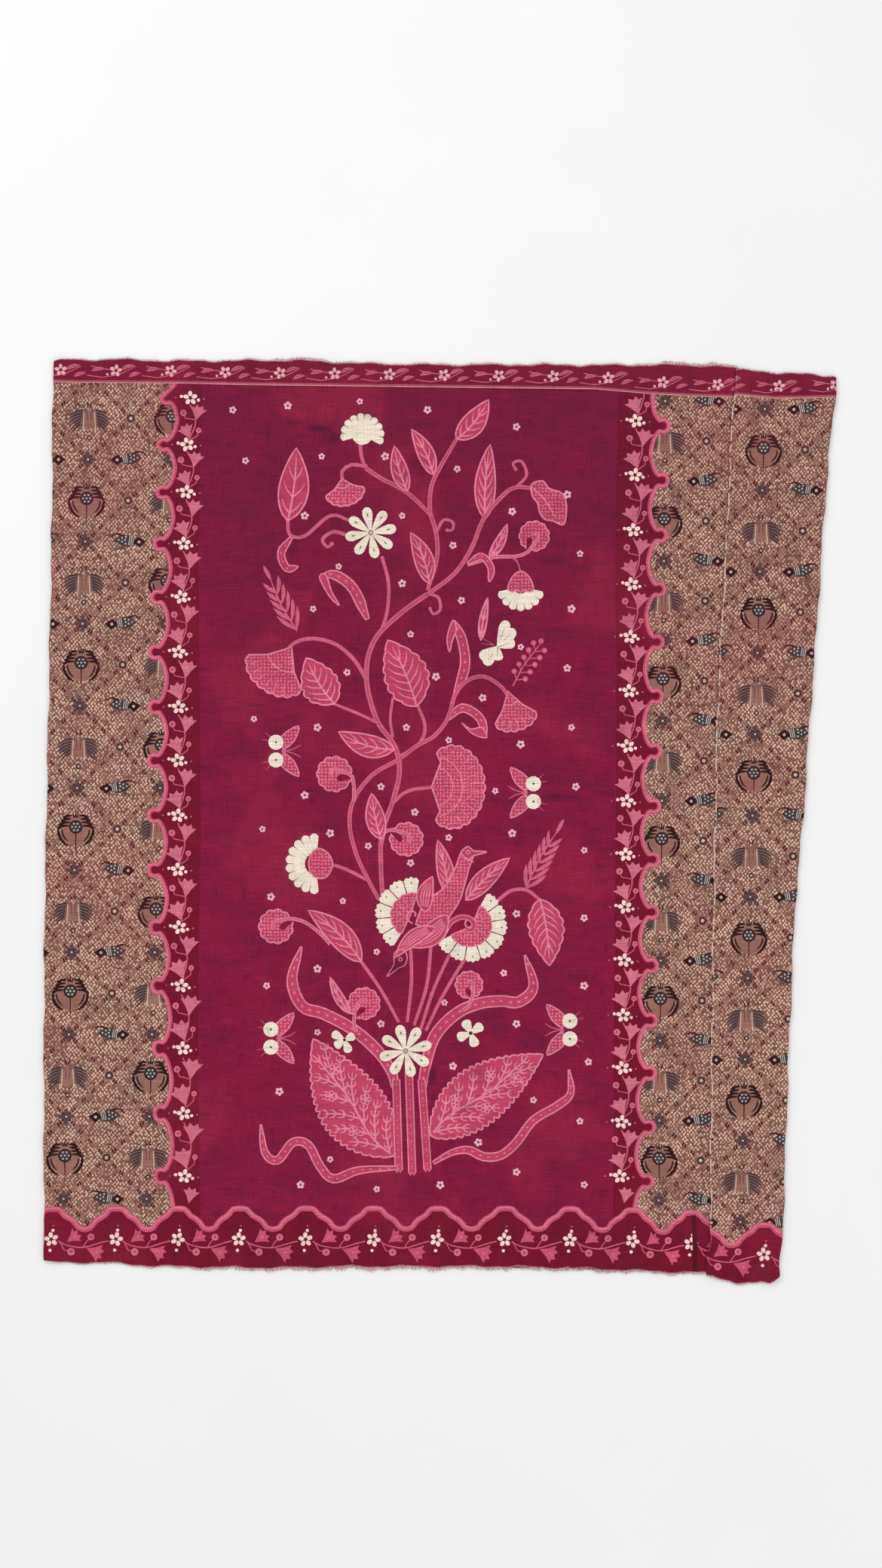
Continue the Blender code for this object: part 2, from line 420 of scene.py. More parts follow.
def leaf(drawing, base, tip, width, bend=0.0, teeth=0, veins=5):
    """A rose leaf with a pale outline, midrib and side veins."""
    steps = max(13, teeth * 4 + 1)
    upper, lower, middle = leaf_edge(base, tip, width, bend, teeth, steps)
    drawing.waxed(blade(upper, lower), "rose", "pale", 0.19)
    drawing.line(middle[: int(steps * 0.93)], 0.2, "pale", end=0.3, spacing=2)
    for vein in range(veins):
        start = 0.1 + 0.68 * vein / veins
        reach = min(start + 0.2, 0.93)
        for side in (upper, lower):
            root = np.interp(start, np.linspace(0, 1, steps), middle)
            rim = np.interp(reach, np.linspace(0, 1, steps), side)
            spine = np.interp(reach, np.linspace(0, 1, steps), middle)
            end = spine + (rim - spine) * 0.74
            bow = (root + end) / 2 + (end - spine) * 0.16
            drawing.line([root, bow, end], 0.15, "pale", end=0.35, spacing=2)


def great_leaf(drawing, base, tip, width, bend):
    """The leaf filled with sprigs and small flowers that stands at the foot of the stalks."""
    steps = 81
    upper, lower, middle = leaf_edge(base, tip, width, bend, 20, steps)
    drawing.waxed(blade(upper, lower), "rose", "pale", 0.2)
    along = np.linspace(0, 1, steps)
    wander = middle + 1j * (tip - base) * 0.02 * np.sin(along * 9)
    drawing.line(wander[2:74:4], 0.22, "pale", end=0.4, spacing=1)
    for twig_number in range(6):
        start = 0.06 + 0.13 * twig_number
        for side, rims in ((1, upper), (-1, lower)):
            root = np.interp(start + 0.03 * side, along, wander)
            reach = min(start + 0.2, 0.95)
            spine, rim = np.interp(reach, along, middle), np.interp(reach, along, rims)
            end = spine + (rim - spine) * 0.8
            twig = curve([root, (root + end) / 2 + (spine - root) * 0.12, end], 0.6)
            drawing.line(twig, 0.2, "pale", end=0.5, spacing=1)
            for k in range(2, len(twig), 2):
                ahead = twig[k] - twig[k - 1]
                for hand in (-1, 1):
                    frond = ahead / abs(ahead) * cmath.rect(0.95, hand * 0.85)
                    drawing.line([twig[k - 1], twig[k - 1] + frond * 0.6,
                                  twig[k - 1] + frond * cmath.rect(1, -0.35 * hand)], 0.18, "pale",
                                 end=0.3, spacing=0.8)
    for share, off in ((0.3, 0.45), (0.44, -0.5), (0.6, 0.42), (0.74, -0.3)):
        spine = np.interp(share, along, middle)
        rim = np.interp(share, along, upper if off > 0 else lower)
        centre = spine + (rim - spine) * abs(off)
        for k in range(5):
            drawing.dot(centre + cmath.rect(0.42, k * 1.257), 0.3, "pale", 7)
            drawing.dot(centre + cmath.rect(0.42, k * 1.257), 0.17, "rose", 6)
        drawing.dot(centre, 0.16, "pale", 6)


def star_flower(drawing, centre, size=0.52, turn=0.3):
    """One of the small five-petal flowers strewn over the field."""
    for k in range(5):
        out = cmath.rect(1, turn + k * 2 * math.pi / 5)
        drawing.dot(centre + out * size * 0.56, size * 0.36, "blossom", 7)
    drawing.dot(centre, size * 0.16, "field", 5)


def petal(drawing, base, tip, width, dye, seed=True):
    """A rounded petal, widest near its tip, with a dark seed mark."""
    half = at(((0, 0.1), (0.35, 0.33), (0.7, 0.5), (0.87, 0.44), (0.97, 0.24), (1, 0)))
    share = width / abs(tip - base)
    upper = half.real + 1j * half.imag * share
    drawing.fill(base + np.concatenate([upper, upper[-2::-1].conjugate()]) * (tip - base), dye)
    if seed:
        middle, turn = base + 0.66 * (tip - base), cmath.phase(tip - base)
        drawing.dot(middle, 0.34, "sand", 8, 0.42, turn)
        drawing.dot(middle, 0.26, dye, 8, 0.36, turn)
        drawing.dot(middle, 0.17, "umber", 6, 0.42, turn)


def daisy(drawing, centre, radius, turn):
    """The eight-petal cream flower."""
    for k in range(8):
        out = cmath.rect(1, turn + k * math.pi / 4)
        petal(drawing, centre + out * 0.3, centre + out * radius, radius * 0.40, "cream")
    drawing.dot(centre, 0.24, "sand", 7)


def small_flower(drawing, centre, width, petals, eye):
    """A little cream flower, from each petal's turn in degrees and its length."""
    for turn, length in petals:
        petal(drawing, centre, centre + cmath.rect(length, math.radians(turn)), width, "cream", seed=False)
    drawing.dot(centre, eye, "umber", 6)


def cream_fan(drawing, centre, inner, outer, start, end, count, seeds=True, notched=False):
    """Cream petals side by side between two angles, given in degrees."""
    pitch = math.radians(end - start) / count
    for k in range(count):
        middle = math.radians(start) + pitch * (k + 0.5)
        near, far = pitch * 0.46, pitch * (0.47 if notched else 0.5)
        profile = ((inner, -near), ((inner + outer) / 2, -far), (outer * 0.93, -far))
        top = ((outer, -0.3 * pitch), (outer * 0.97, -0.15 * pitch), (outer * 1.02, 0.0),
               (outer * 0.97, 0.15 * pitch), (outer, 0.3 * pitch))
        if not notched:
            top = ((outer, -0.26 * pitch), (outer * 1.03, 0.0), (outer, 0.26 * pitch))
        mirror = tuple((r, -a) for r, a in profile[::-1])
        loop = [centre + cmath.rect(r, middle + a) for r, a in profile + top + mirror]
        drawing.fill(loop, "cream")
        if seeds:
            drawing.dot(centre + cmath.rect((inner + 2 * outer) / 3, middle), 0.13, "umber", 6, 0.6, middle)
        if not k:
            continue
        edge = middle - pitch / 2
        if notched:
            drawing.line([centre + cmath.rect(inner, edge), centre + cmath.rect(outer * 0.96, edge)],
                         0.15, "umber", end=0.3)
        else:
            drawing.line([centre + cmath.rect(outer * 1.01, edge), centre + cmath.rect(outer * 0.72, edge)],
                         0.13, "umber_line", end=0.2)


def fan_bloom(drawing, base, tip, spread, scallops=9, cap=0.45, droop=0.12):
    """A rose carnation seen from the side: a scalloped, stippled skirt below its cap."""
    reach = tip - base
    share = np.linspace(-1, 1, scallops * 4 + 1)
    swing = share * math.radians(spread)
    wavy = 1 + 0.04 * abs(np.sin(math.pi * scallops * (share + 1) / 2)) - droop * share**4
    rim = wavy * np.exp(1j * swing)
    shoulder = cmath.rect(0.5, math.radians(spread) * 0.86)
    loop = np.concatenate([[-0.02, shoulder.conjugate()], rim, [shoulder]])
    drawing.waxed(base + loop * reach, "dotted_rose", "pale", 0.19)
    for bow in (cap, cap * 1.5) if spread > 70 else (cap,):
        arc = bow * np.exp(1j * np.radians(np.linspace(-spread * 0.9, spread * 0.9, 11)))
        drawing.line(base + arc * reach, 0.13, "pale", spacing=2)
    for pleat in range(1, scallops):
        turn = math.radians(spread) * (2 * pleat / scallops - 1)
        drawing.line([base + reach * cmath.rect(0.93 - droop * (2 * pleat / scallops - 1)**4, turn),
                      base + reach * cmath.rect(0.72, turn * 0.95)], 0.12, "pale", end=0.3)


def curl_bloom(drawing, centre, radius, whorl, *stem):
    """A round, stippled flower head, with the end of its stem curled up inside it."""
    angle = np.linspace(0, 2 * math.pi, 44, endpoint=False)
    drawing.waxed(centre + radius * (0.93 + 0.1 * abs(np.sin(5.5 * angle))) * np.exp(1j * angle),
                  "dotted_rose", "pale", 0.17)
    inward = complex(*stem[-1]) - centre
    inward *= radius / abs(inward)

    def turned(share, turn):
        return centre + inward * cmath.rect(share, math.radians(turn) * whorl)

    notch = [turned(1.12, -6), turned(0.8, -17), turned(0.5, -48), turned(0.28, -50), turned(0.3, 0),
             turned(0.7, 4), turned(1.12, 2)]
    drawing.fill(curve(notch, 0.4, closed=True), "field")
    hook = [turned(0.85, 8), turned(0.45, 30), turned(0.3, 100), turned(0.3, 180), turned(0.1, 230)]
    drawing.line([*at(stem), *hook], 0.42, "pale", end=0.6, spacing=0.6)
    drawing.line([*at(stem), *hook], 0.24, "stem", end=0.6, spacing=0.6)


def tendril(drawing, points, width=0.42):
    """A thinning stem that ends in a bead."""
    drawing.line(at(points), width, "stem", end=0.75, spacing=0.35)
    drawing.dot(complex(*points[-1]), width * 0.62, "stem", 9)


def strap(drawing, points, width, folded=None, start=0.4):
    """A dotted strap leaf, and the folded-over point at its end."""
    path = curve(at(points), 0.55)
    share = np.linspace(0, 1, len(path))
    side = beside(path)
    half = width / 2 * np.interp(share, (0, 0.25, 0.8, 0.93, 1), (start, 1.0, 0.95, 0.6, 0.12))
    drawing.waxed(out_and_back(path, side * half), "rose", "pale", 0.16)
    for k in range(2, len(path) - 2, 2):
        drawing.dot(path[k], width * 0.17, "dotted", 6, 0.6, cmath.phase(side[k] / 1j))
    if folded:
        drawing.waxed(curve(at(folded), 0.6, closed=True), "rose", "pale", 0.15)


def sprig(drawing, base, tip, pairs, spread=0.6, size=2.5):
    """A fern sprig: narrow leaflets in pairs up a thin stem."""
    drawing.line([base, (base + tip) / 2 + (tip - base) * 0.04j, tip], 0.2, "stem", end=0.5)
    ahead = (tip - base) / abs(tip - base)
    for pair in range(pairs):
        root = base + (tip - base) * (pair + 0.15) / pairs * 0.86
        for hand in (-1, 1):
            end = root + ahead * cmath.rect(size * (1 - 0.06 * pair), hand * spread)
            drawing.line([root, (root + end) / 2 + ahead * 0.12j * hand, end], 0.46, "stem", 0.35, 0.05)
    drawing.line([tip - ahead * 0.2, tip + ahead * 0.8, tip + ahead * 1.7], 0.46, "stem", 0.3, 0.05)


def butterfly(drawing, middle, facing):
    """A small moth: two round cream wings, two pointed rose ones and feelers before and behind."""
    head = middle + 0.95 * facing
    for hand in (-1, 1):
        tip = middle + complex(2.7 * facing, 3.0 * hand)
        base = head + complex(-0.1 * facing, 0.25 * hand)
        reach = tip - base
        wide = reach * 0.3j * hand * facing
        pointed = [base, base + reach * 0.35 + wide, tip, base + reach * 0.45 - wide * 0.55,
                   base - wide * 0.1]
        drawing.waxed(curve(pointed, 0.9, closed=True), "dotted_rose", "pale", 0.15)
        feeler = [head, head + complex(1.1 * facing, 0.25 * hand), head + complex(2.0 * facing, 0.75 * hand)]
        drawing.line(feeler, 0.12, "stem", end=0.5)
        disc = middle + 1.05j * hand
        for turn in (0.2, 0.75):
            away = complex(-math.cos(turn) * facing, math.sin(turn) * hand)
            drawing.line([disc + away * 0.8, disc + away * 1.7], 0.1, "stem", end=0.4)
        drawing.dot(disc, 0.9, "cream", 14)
        drawing.dot(disc, 0.14, "umber", 6)
        drawing.line([disc - 0.2 * facing, disc - 0.75 * facing + 0.1j * hand], 0.07, "sand")
    drawing.dot(head, 0.3, "stem", 8)


def tulip(drawing, base, tip, spread=33, dye="tulip"):
    """A fan-shaped bud with a ragged crown."""
    reach, swing = tip - base, math.radians(spread)
    crown = ((0.5, -0.85), (0.98, -1.0), (0.85, -0.62), (1.06, -0.36), (0.87, 0.0), (1.06, 0.34),
             (0.85, 0.62), (0.98, 1.0), (0.5, 0.85))
    drawing.fill([base] + [base + reach * cmath.rect(r, a * swing) for r, a in crown], dye)
    drawing.dot(base + reach * 0.62, 0.2, "vine_stem", 6, 0.6, cmath.phase(reach))
    drawing.dot(base + reach * 0.62, 0.11, "dotted", 5)


def vine_flower(drawing, centre, turn=0.35, size=1.0, dye="petal_white"):
    """Five round white dots, the flower of the borders."""
    for k in range(5):
        angle = turn + k * 1.2566
        drawing.dot(centre + cmath.rect(0.52 * size, angle), 0.34 * size, dye, 8, 0.76, angle)
    drawing.dot(centre, 0.1, "border", 5)


def skirt_bloom(drawing, heart, radius):
    """A cream bell flower whose stippled rose dome shows over its petals."""
    cream_fan(drawing, heart, 0.8, radius, 192, 348, 7, seeds=False)
    dome = at(((-1.5, -0.35), (-1.35, 0.5), (-0.8, 1.4), (0, 1.85), (0.8, 1.4), (1.35, 0.5), (1.5, -0.35),
               (0.95, -0.6), (0.45, -0.4), (0, -0.65), (-0.45, -0.4), (-0.95, -0.6)))
    drawing.waxed(curve(heart + dome, 0.6, closed=True), "dotted_rose", "pale", 0.16)


def half_daisy(drawing, heart, radius, start, end, count, whorl=1):
    """A cream wedge flower: a stippled rose heart with a spiral, and a fan of toothed petals."""
    inner = radius * 0.57
    cream_fan(drawing, heart, inner, radius, start, end, count, notched=True)
    angles = np.radians(np.linspace(start, end, count * 4 + 1))
    lobes = inner * (1 + 0.05 * abs(np.sin(np.linspace(0, math.pi * count, len(angles)))))
    disc = np.concatenate([heart + lobes * np.exp(1j * angles), [heart + cmath.rect(0.3, angles.mean())]])
    drawing.waxed(disc, "dotted_rose", "pale", 0.14)
    for angle in angles[2::4]:
        drawing.line([heart + cmath.rect(inner * 0.45, angle), heart + cmath.rect(inner * 0.86, angle)],
                     0.13, "dotted", end=0.4)
    coil = [heart + cmath.rect(0.18 + 0.11 * k, math.radians(start) + whorl * (k * 0.75 - 2.0))
            for k in range(8)]
    drawing.line(coil, 0.2, "pale", end=0.8, spacing=0.3)


def song_bird(drawing, body, neck, head, beak):
    """The bird among the flowers: a stippled neck, two hatched wings and a hatched tail."""
    spine = curve([body, (body + neck) / 2 - 0.35, neck, head], 0.6)
    share = np.linspace(0, 1, len(spine))
    half = np.interp(share, (0, 0.25, 0.6, 0.85, 1), (1.5, 1.75, 1.0, 0.75, 0.8))
    drawing.waxed(out_and_back(spine, beside(spine) * half), "dotted_rose", "pale", 0.17)
    drawing.waxed(curve([head - 0.75 + 0.1j, head + 0.1 + 0.85j, head + 0.7 + 0.35j, beak,
                         head + 0.75 - 0.25j, head + 0.2 - 0.7j], 0.4, closed=True), "rose", "pale", 0.17)
    drawing.line([head - 0.5 - 0.55j, head + 0.15 - 0.75j, head + 0.75 - 1.0j], 0.15, "pale")
    drawing.dot(head + 0.1 + 0.15j, 0.27, "pale", 8)
    drawing.dot(head + 0.1 + 0.15j, 0.12, "field", 6)


def hatched_wing(drawing, root, tip, width, bend, strokes=4):
    """A pointed wing filled with long strokes."""
    upper, lower, middle = leaf_edge(root, tip, width, bend, 0, 15)
    drawing.waxed(blade(upper, lower), "rose", "pale", 0.17)
    for k in range(strokes):
        off = 0.7 * (2 * (k + 0.5) / strokes - 1)
        row = middle + (upper - middle) * off
        drawing.line(row[2:12:3], 0.13, "pale", end=0.4, spacing=1.5)


# ------------------------------------------------------------------ borders


# Half a scallop, from its knob to the trough: distances along the border and out from the knobs' line
SIDE_SCALLOP = ((0, 0.78), (0.5, 0.58), (0.7, 0.1), (0.6, -0.32), (0.98, -0.66), (1.75, -1.02), (3.15, -1.27))
FOOT_SCALLOP = ((0, 0.95), (0.75, 0.88), (1.15, 0.5), (1.55, 0.08), (2.2, -0.3), (2.7, -0.75), (3.1, -1.3),
                (3.8, -1.5))


def scallop_line(knobs, outward, profile=SIDE_SCALLOP):
    """The wavy middle of a scalloped band, from knob to knob."""
    path = []
    for here, there in zip(knobs, knobs[1:]):
        along = (there - here) / profile[-1][0] / 2
        path += [here + along * run + outward * rise for run, rise in profile]
        path += [there - along * run + outward * rise for run, rise in profile[-2:0:-1]]
    return curve(path + [knobs[-1] + outward * profile[0][1]], 0.42)


def scallop_band(drawing, line, outward, width=0.52):
    """The two-tone wavy band, darker on the side of the patterned ground."""
    drawing.fill(ribbon(line, width), "scallop")
    drawing.fill(ribbon(line + outward * width * 0.15, width * 0.35), "scallop_light")


def vine_bud(drawing, centre, radius, foot, stem_end):
    """A round bud on a thin bent stalk."""
    drawing.line([centre, foot, stem_end], 0.11, "vine_stem", spacing=2)
    drawing.dot(centre, radius, "tulip", 9, 1.0)
    drawing.dot(centre, radius * 0.45, "rose", 7)


def vine_beads(drawing, flower, beads):
    """Beads round a border's flower, by place and radius: the large ones white, the small ones rose."""
    for x, y, radius in beads:
        drawing.dot(flower + complex(x, y), radius, "petal_white" if radius > 0.15 else "tulip", 7)


def side_vine(drawing, flowers):
    """The vine down a side border: a flower, two ragged tulips and two buds a repeat."""
    for top, low in zip(flowers, flowers[1:]):
        down = (top - low) / 6.4

        def place(x, y, top=top, down=down):
            return top + x + y * down

        stem = [place(x, y) for x, y in ((0, -0.9), (0.5, -1.9), (0.8, -2.9), (0.75, -4.0), (0.35, -5.2),
                                         (0.2, -5.8))]
        drawing.line(stem, 0.14, "vine_stem", spacing=0.8)
        vine_bud(drawing, place(-0.7, -2.05), 0.4, place(-0.45, -2.75), place(0.75, -3.0))
        vine_bud(drawing, place(1.25, -4.45), 0.33, place(1.15, -5.2), place(0.35, -5.75))
        tulip(drawing, place(0.85, -3.05), place(1.2, -1.05))
        tulip(drawing, place(0.3, -5.65), place(-0.55, -3.7))
    for k, flower in enumerate(flowers):
        vine_flower(drawing, flower, 0.35 + 0.2 * math.sin(k * 2.1))
        vine_beads(drawing, flower, ((-1.05, 0.18, 0.2), (0.95, -0.25, 0.2), (-1.75, 0.02, 0.09),
                                     (1.6, -0.12, 0.1)))


def foot_vine(drawing, flowers):
    """The vine along the hem, from each flower to the next on its left."""
    for left, right in zip(flowers, flowers[1:]):
        back = (right - left) / 7.6

        def place(x, y, right=right, back=back):
            return right + x * back + 1j * y

        stem = [place(x, y) for x, y in ((-0.9, -0.2), (-1.9, -0.45), (-3.9, -1.0), (-5.9, -0.7),
                                         (-6.8, -0.2))]
        drawing.line(stem, 0.14, "vine_stem", spacing=0.8)
        vine_bud(drawing, place(-2.95, 0.25), 0.42, place(-3.5, -0.35), place(-3.9, -1.0))
        vine_bud(drawing, place(-5.3, -1.5), 0.45, place(-6.1, -1.3), place(-6.6, -0.3))
        tulip(drawing, place(-5.8, -0.35), place(-4.35, 0.7), dye="scallop")
        tulip(drawing, place(-3.5, -1.1), place(-1.6, -1.85), dye="scallop")
    for k, flower in enumerate(flowers):
        vine_flower(drawing, flower, 0.15 + 0.3 * math.sin(k * 1.7))
        vine_beads(drawing, flower, ((0.2, 1.05, 0.2), (-0.15, -1.3, 0.2), (0.25, 1.6, 0.09)))


def waist_vine(drawing, line, repeat):
    """The loose sprays of the waist band, along its middle line."""
    span = line[-1].real - line[0].real
    count = round(span / repeat)
    for k in range(count):
        x = line[0].real + span * (k + 0.5) / count
        middle = complex(x, np.interp(x, line.real, line.imag))

        def place(u, v, middle=middle):
            return middle + complex(u * repeat / 6.3, v)

        for run in (((-3.4, -0.55), (-1.6, -0.8), (0.3, -0.5), (2.3, 0.5)),
                    ((-2.9, 0.55), (-1.7, 0.25), (-0.4, 0.1))):
            drawing.line([place(*point) for point in run], 0.09, "tulip", spacing=2)
        for base, tip in (((0.6, 0.05), (2.3, 0.6)), ((-2.9, -0.05), (-1.2, 0.2)),
                          ((1.5, -0.75), (3.0, -0.3))):
            for width, dye in ((0.44, "tulip"), (0.2, "waist_rose")):
                upper, lower, _ = leaf_edge(place(*base), place(*tip), width, 0.1, 0, 6)
                drawing.fill(blade(upper, lower), dye)
        vine_flower(drawing, place(0, 0), 0.4 + k, 0.86, "waist_flower")
        drawing.dot(place(-1.0, -0.45), 0.16, "waist_flower", 6)


# ------------------------------------------------------------------ the patterned ground


def medallion(drawing, centre):
    """The beetle-like medallion: dark ribs over a dotted disc, held in two crescents."""
    fine = drawing.fine
    drawing.dot(centre - 0.2j, 1.8, "band", 16 if fine else 10)
    for hand in (-1, 0, 1) if fine else (0,):
        crest = complex(0.36 * hand, 2.1 - 0.2 * abs(hand))
        drawing.line([centre + complex(0.16 * hand, 1.35), centre + crest], 0.22, "ink", end=0.4)
    for hand in (-1, 1):
        for k in range(4 if fine else 3):
            root = centre + complex(hand * (0.45 + 0.12 * k), 1.6 - 0.40 * k)
            bow = centre + complex(hand * (1.0 + 0.2 * k), 1.58 - 0.40 * k)
            end = centre + complex(hand * (1.48 + 0.22 * k), 1.3 - 0.42 * k)
            drawing.line([root, bow, end] if fine else [root, end], 0.34, "ink", 0.5, 0.9, 2)
        for radius, width, low in ((2.06, 0.34, 0.3), (1.62, 0.2, 0.45))[: 2 if fine else 1]:
            arc = [centre - 0.1j + complex(hand * radius * math.cos(a), -radius * math.sin(a))
                   for a in np.linspace(-0.02, 1.45 - low, 5 if fine else 4)]
            drawing.line(arc, width, "ink", 0.8, 0.35, 2)
    drawing.dot(centre + 0.25j, 0.82, "ink", 10 if fine else 6)
    drawing.dot(centre + 0.25j, 0.66, "slate", 9 if fine else 5)
    for k in range(7 if fine else 0):
        spot = centre + 0.25j + (cmath.rect(0.44, k * math.pi / 3) if k else 0)
        drawing.dot(spot, 0.12, "slate_light", 5)
    drawing.line([centre - 0.5j, centre - 2.8j], 0.16, "maroon", end=0.5)


def wing(drawing, centre):
    """The paired wings between medallions: drooping grey feathers either side of two pale quills."""
    fine = drawing.fine
    drawing.fill(centre + at(((-0.66, -1.2), (-0.7, 0.9), (0.7, 0.9), (0.66, -1.2))), "band")
    for hand in (-1, 1):
        half = at(((0.1, 1.05), (1.0, 1.12), (1.9, 0.6), (2.45, -0.55), (1.75, -0.6), (1.35, -1.25),
                   (0.8, -0.95), (0.62, 0.4)))
        drawing.fill(centre + (half if hand > 0 else -half.conjugate()), "wing_grey")
        for k in range(6 if fine else 3):
            step = k if fine else 2 * k
            root = centre + complex(hand * (0.78 + 0.05 * step), 0.95 - 0.32 * step)
            bow = centre + complex(hand * (1.6 + 0.02 * step), 0.82 - 0.4 * step)
            end = centre + complex(hand * (2.45 - 0.06 * step), 0.3 - 0.4 * step)
            drawing.line([root, bow, end] if fine else [root, end], 0.19, "ink_soft", end=0.35, spacing=2)
        quills = (((0.62, 0.8), (0.74, -1.5), 0.13, "tan_pale", 1.0),
                  ((0.14, 1.4), (0.32, 2.0), 0.2, "maroon", 0.5),
                  ((0.22, 0.9), (0.22, -0.3), 0.1, "umber_line", 1.0),
                  ((1.1, 1.5), (1.5, 1.75), 0.18, "maroon", 0.5))
        for root, tip, width, dye, end in quills[: 4 if fine else 2]:
            run = [centre + complex(hand * x, y) for x, y in (root, tip)]
            drawing.line(run, width, dye, end=end)
    drawing.dot(centre - 2.3j, 0.34, "ink_soft", 7)
    if fine:
        drawing.dot(centre - 2.3j, 0.15, "tan_pale", 5)


def little_bird(drawing, centre, facing):
    """A bird of the patterned ground: a dark head like a lozenge, a dotted body, reddish feathers."""

    def place(x, y):
        return centre + complex(facing * x, y)

    for k in range(3 if drawing.fine else 1):
        drawing.line([place(0.1 - 0.2 * k, 0.6), place(-1.0 - 0.2 * k, 0.95), place(-2.0, 0.75 - 0.2 * k)],
                     0.14, "maroon", end=0.4, spacing=2)
        drawing.line([place(-0.2 - 0.3 * k, -0.5), place(-0.8 - 0.3 * k, -1.0)], 0.14, "maroon", end=0.4)
    body = ((-1.5, 0.15), (-0.8, 0.72), (0.1, 0.78), (1.0, 0.3), (0.95, -0.4), (0.1, -0.62), (-0.8, -0.4))
    drawing.fill([place(x, y) for x, y in body], "slate")
    spots = ((-0.95, 0.2), (-0.55, 0.45), (-0.55, 0.0), (-0.2, 0.2), (-0.1, 0.55), (-0.15, -0.25))
    for x, y in spots if drawing.fine else ():
        drawing.dot(place(x, y), 0.12, "slate_light", 5)
    for k in range(3 if drawing.fine else 0):
        drawing.line([place(0.2 + 0.22 * k, -0.4), place(0.38 + 0.22 * k, 0.6 - 0.1 * k)], 0.1, "slate_light")
    drawing.fill([place(x, y) for x, y in ((0.7, -0.08), (1.35, 0.58), (2.3, 0.0), (1.5, -0.72))], "ink")
    drawing.dot(place(1.45, -0.05), 0.2, "tan_pale", 5)


def lattice(drawing, anchor, row, lean, low, high):
    """The leaning diamond lattice over a box of the patterned ground."""
    column_width = 9.8

    def inside(point, margin):
        return (low[0] - margin < point.real < high[0] + margin
                and low[1] - margin < point.imag < high[1] + margin)

    columns = range(math.floor((low[0] - anchor.real) / column_width) - 1,
                    math.ceil((high[0] - anchor.real) / column_width) + 2)
    rows = range(math.floor((low[1] - anchor.imag) / row) - 1, math.ceil((high[1] - anchor.imag) / row) + 2)
    sites = [(i + j, anchor + complex(column_width * i + lean * row * j, row * j))
             for i in columns for j in rows]
    half = complex(lean, 1) * row / 2
    chance = random.Random(7)
    for _, site in sites:
        for hand in (-1, 1):
            for rise in (-1, 1):
                start, end = site + hand * column_width / 2, site + rise * half
                if not inside((start + end) / 2, 3.2):
                    continue
                drawing.fill(ribbon(np.array([start, end]), 0.42), "band")
                along = (end - start) / abs(end - start)
                for share in (0.17, 0.39, 0.61, 0.83) if drawing.fine else (0.3, 0.7):
                    spot = start + (end - start) * (share + chance.uniform(-0.03, 0.03))
                    slant = cmath.rect(chance.uniform(0.17, 0.27), chance.uniform(0.9, 1.35))
                    slant = slant if hand * rise > 0 else -slant.conjugate()
                    for side in (-1, 1) if drawing.fine else (0,):
                        dash = spot + side * along * 0.17
                        if inside(dash, 0.3):
                            width = 0.24 if side else 0.4
                            drawing.line([dash - slant, dash + slant], width, "maroon", end=0.6)
    for parity, site in sites:
        if inside(site, 1.8):
            (wing if parity % 2 else medallion)(drawing, site)
        bird = site + column_width / 2 - half
        if inside(bird, 1.8):
            little_bird(drawing, bird, -1 if parity % 2 else 1)
        eye = site + column_width / 2
        if inside(eye, 0.4):
            drawing.dot(eye, 0.5, "ink_soft", 8 if drawing.fine else 6)
            drawing.dot(eye, 0.24, "tan_pale", 5)
        vertex = site - half
        if inside(vertex, 0.8):
            for k in range(4 if drawing.fine else 2):
                angle = k * math.pi / 2
                if drawing.fine:
                    drawing.dot(vertex + cmath.rect(0.6, angle), 0.42, "slate_warm", 6, 0.66, angle)
                    corner = cmath.rect(0.52, (k + 0.5) * math.pi / 2)
                    drawing.dot(vertex + corner, 0.2, "ink_soft", 5)
                else:
                    drawing.dot(vertex, 0.95, "slate_warm", 6, 0.3, angle)
            drawing.dot(vertex, 0.36, "ink_soft", 6)
            if drawing.fine:
                drawing.dot(vertex, 0.16, "tan_pale", 5)


# ------------------------------------------------------------------ the flowering tree


STRAYS = (  # where the strewn flowers lie
    (-24.5, 48.5), (-18, 49), (-9.5, 49.5), (-1.5, 48.5), (9, 46.5), (-14, 43), (-6.5, 43), (2, 41.5),
    (-23, 42.5), (-16, 36), (-4.5, 36), (1.5, 32.5), (8.5, 36.5), (-12, 30), (-4.5, 28), (2.5, 26),
    (-15, 25), (15.5, 25), (-3.5, 22), (-11, 17.5), (-0.5, 17), (9.5, 20.5), (15, 18), (5, 14.5),
    (-22, 12), (-14.5, 11), (-4, 11), (1, 9.5), (9.5, 9), (15.5, 11), (-7, 4), (-16, 3), (6.5, 3.5),
    (16, 4), (-3, 1), (-21, -1), (-13, -1.5), (-8.5, -3), (1, -2), (8.5, -1.5), (17, -3.5), (-3.5, -5),
    (-20, -9), (-11.5, -9.5), (9, -11), (17, -11.5), (-7.5, -15.5), (-14.5, -17.5), (7.5, -18),
    (-20.5, -19.5), (17, -19.5), (0.5, -21.5), (-7, -24), (9, -24), (-14.5, -25), (1.5, -29),
    (17.5, -28.5), (-9.5, -30), (-19, -32), (11, -33), (16.5, -35.5), (4.5, -38), (-13, -40), (9, -41.5),
    (-16.5, -43), (-7.5, -43.5), (0, -43), (17, -43), (16.5, 31.5), (15, 38.5),
)


def branch(drawing, *points, width=0.52, end=0.85):
    """A stem through the points, its wax edge pale and its heart a little deeper."""
    path = at(points)
    drawing.line(path, width, "stem", end=end, spacing=0.7)
    if width > 0.45:
        drawing.line(path, width * 0.22, "rose", end=end, spacing=0.9)


